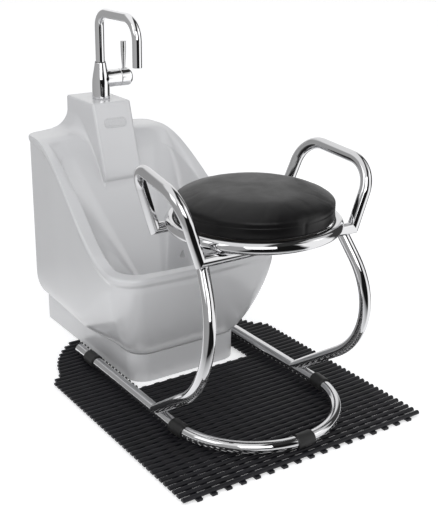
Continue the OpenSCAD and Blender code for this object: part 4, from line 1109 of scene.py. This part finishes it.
# Name, place, aim, side in metres and watts of each softbox.
SOFTBOXES = (
    ("key_softbox", (-3.4, -0.3, 2.5), (0, 0.1, 0.3), 2.0, 16.0),
    ("front_softbox", (-1.5, -3.2, 2.1), (0, 0, 0.3), 2.4, 42.0),
    ("right_softbox", (3.0, -1.2, 3.0), (0, 0.1, 0.3), 2.4, 12.0),
)
# Walls of the studio as metal shows them: (degrees from the direction towards the camera, round
# to the camera's right, level).
STUDIO_WALLS = ((-180, 1.0), (-150, 1.0), (-138, 0.38), (-10, 0.46), (-2, 0.01), (57, 0.01),
                (63, 1.25), (100, 1.25), (108, 0.06), (146, 0.06), (158, 1.0), (180, 1.0))
# Degrees that bring the direction towards the camera to 0.
WALLS_TURN = 124.7


def seen_rays(tree, *kinds):
    """Light Path's rays of those kinds, as one factor."""
    rays = add_node(tree, "LightPath").outputs
    last = rays[kinds[0]]
    for kind in kinds[1:]:
        last = calculate(tree, "MAXIMUM", last, rays[kind])
    return last


def ramp(tree, source, stops):
    """Grey level of a colour ramp with those stops (position, level)."""
    node = add_node(tree, "ValToRGB", source)
    e = node.color_ramp.elements
    while len(e) < len(stops):
        e.new(0.5)
    for stop, (at, _) in zip(e, stops):
        stop.position = at
    for stop, (_, level) in zip(e, stops):
        stop.color = (level, level, level, 1)
    return node.outputs["Color"]


def studio_walls(tree, source):
    """Level of the studio's wall in the direction that source gives from the set, and that
    direction's parts once it is turned."""
    turn = add_node(tree, "Mapping", source, Rotation=(0, 0, math.radians(WALLS_TURN)))
    parts = add_node(tree, "SeparateXYZ", turn.outputs["Vector"]).outputs
    angle = calculate(tree, "ARCTAN2", parts["Y"], parts["X"])
    share = calculate(tree, "MULTIPLY_ADD", angle, 0.5 / math.pi, 0.5)
    return ramp(tree, share, [(0.5 + degrees / 360, level) for degrees, level in STUDIO_WALLS]), parts


def floor_paint(color):
    """Pale floor that shows as plain white where no shadow falls, and that metal sees as the
    studio's wall away from the set."""
    mat = material("floor_paint", color, 0.9)
    tree = mat.node_tree
    seen = seen_rays(tree, "Is Camera Ray", "Is Glossy Ray", "Is Transmission Ray")
    glow = add_node(tree, "Emission", Strength=calculate(tree, "MULTIPLY", seen, FLOOR_GLOW))
    both = add_node(tree, "AddShader", tree.nodes["Principled BSDF"].outputs[0], glow.outputs[0])
    spot = add_node(tree, "TexCoord").outputs["Object"]
    away = add_node(tree, "VectorMath", spot, operation="LENGTH").outputs["Value"]
    reach = add_node(tree, "MapRange", away, WALL_FROM, WALL_FULL).outputs["Result"]
    shown = calculate(tree, "MULTIPLY", reach, seen_rays(tree, "Is Glossy Ray"))
    card = add_node(tree, "Emission", studio_walls(tree, spot)[0])
    pick = add_node(tree, "MixShader", shown, both.outputs[0], card.outputs[0])
    feed(tree, tree.nodes["Material Output"].inputs["Surface"], pick.outputs[0])
    return mat


def room_light(scene, strength):
    """World: a soft grey room, white behind the set; what shines in metal is a dark wall behind
    the camera between two tall softboxes, a pale wall behind the set and a bright ceiling."""
    world = bpy.data.worlds.new("room")
    scene.world = world
    world.use_nodes = True
    tree = world.node_tree
    tree.nodes.clear()
    dim = add_node(tree, "Background", (0.97, 0.98, 1.0, 1), strength)
    white = add_node(tree, "Background", (1, 1, 1, 1), 1.0)
    walls, parts = studio_walls(tree, add_node(tree, "TexCoord").outputs["Generated"])
    overhead = ramp(tree, parts["Z"], ((0.0, 0.0), (0.55, 0.0), (0.72, 1.0), (1.0, 1.0)))
    half = calculate(tree, "MULTIPLY_ADD", parts["Y"], 0.5, 0.5)
    ceiling = ramp(tree, half, ((0.0, 1.0), (0.57, 1.0), (0.62, 0.04), (1.0, 0.04)))
    studio = add_node(tree, "Mix", data_type="RGBA", Factor=overhead, A=walls, B=ceiling)
    shine = add_node(tree, "Background", studio.outputs["Result"], 1.0)
    glossy = seen_rays(tree, "Is Glossy Ray")
    plain = seen_rays(tree, "Is Camera Ray", "Is Transmission Ray")
    room = add_node(tree, "MixShader", glossy, dim.outputs[0], shine.outputs[0])
    room = add_node(tree, "MixShader", plain, room.outputs[0], white.outputs[0])
    add_node(tree, "OutputWorld", room.outputs[0])


# The camera's turn, tilt and roll in degrees, its place, and its focal length in pixels of a
# picture that is PICTURE_SIDE pixels on its longer side.
CAMERA_TURN = (-34.44, 20.41, 0.78)
CAMERA_PLACE = (-1.13125, -1.76225, 1.0684)
FOCAL_PIXELS, PICTURE_SIDE = 971.31, 511
CAMERA_SHIFT = (0.0110, -0.0011)


def studio_camera():
    """Camera at the seat's left front, looking down at the set."""
    yaw, pitch, roll = (math.radians(angle) for angle in CAMERA_TURN)
    right = Vector((math.cos(yaw), math.sin(yaw), 0))
    ahead = Vector((-math.sin(yaw) * math.cos(pitch), math.cos(yaw) * math.cos(pitch), -math.sin(pitch)))
    up = right.cross(ahead)
    data = bpy.data.cameras.new("studio_camera")
    data.sensor_width = 36
    data.lens = FOCAL_PIXELS * data.sensor_width / PICTURE_SIDE
    data.shift_x, data.shift_y = CAMERA_SHIFT
    data.clip_start, data.clip_end = 0.05, 200
    cam = add_object("studio_camera", data)
    axes = (math.cos(roll) * right + math.sin(roll) * up,
            -math.sin(roll) * right + math.cos(roll) * up, -ahead, Vector(CAMERA_PLACE))
    cam.matrix_world = Matrix([[axis[k] for axis in axes] for k in range(3)] + [(0, 0, 0, 1)])
    return cam


# ---- panel


class FOOTBASIN_PT_panel(bpy.types.Panel):
    """Foot-wash basin set"""

    bl_idname = "FOOTBASIN_PT_panel"
    bl_label = "Foot basin"
    bl_space_type = "VIEW_3D"
    bl_region_type = "UI"
    bl_category = "Foot basin"

    def draw(self, context):
        scene = context.scene
        for title, name, _, operators in SECTIONS:
            box = self.layout.box()
            box.label(text=title)
            settings = getattr(scene, name)
            for key in settings.__annotations__:
                box.prop(settings, key)
            for op in operators:
                box.operator(op.bl_idname)


# Title, name of the scene's settings, their class and the operators of each section.
SECTIONS = (
    ("Basin", "footbasin_basin", BasinSettings, (FOOTBASIN_OT_basin, FOOTBASIN_OT_drain)),
    ("Tap and frame", "footbasin_tap", TapSettings, (FOOTBASIN_OT_tap, FOOTBASIN_OT_seat_frame)),
    ("Seat", "footbasin_seat", SeatSettings, (FOOTBASIN_OT_seat,)),
    ("Mat", "footbasin_mat", MatSettings, (FOOTBASIN_OT_mat,)),
    ("Stage", "footbasin_stage", StageSettings, (FOOTBASIN_OT_stage,)),
)
CLASSES = tuple(op for *_, operators in SECTIONS for op in operators) + (FOOTBASIN_PT_panel,)


def register():
    for _, name, group, _ in SECTIONS:
        bpy.utils.register_class(group)
        setattr(bpy.types.Scene, name, PointerProperty(type=group))
    for cls in CLASSES:
        bpy.utils.register_class(cls)


def unregister():
    for cls in CLASSES[::-1]:
        bpy.utils.unregister_class(cls)
    for _, name, group, _ in SECTIONS[::-1]:
        delattr(bpy.types.Scene, name)
        bpy.utils.unregister_class(group)


def main():
    register()
    bpy.ops.footbasin.basin()
    bpy.ops.footbasin.drain()
    bpy.ops.footbasin.tap()
    bpy.ops.footbasin.seat_frame()
    bpy.ops.footbasin.seat()
    bpy.ops.footbasin.mat()
    bpy.ops.footbasin.stage()


if __name__ == "__main__":
    main()
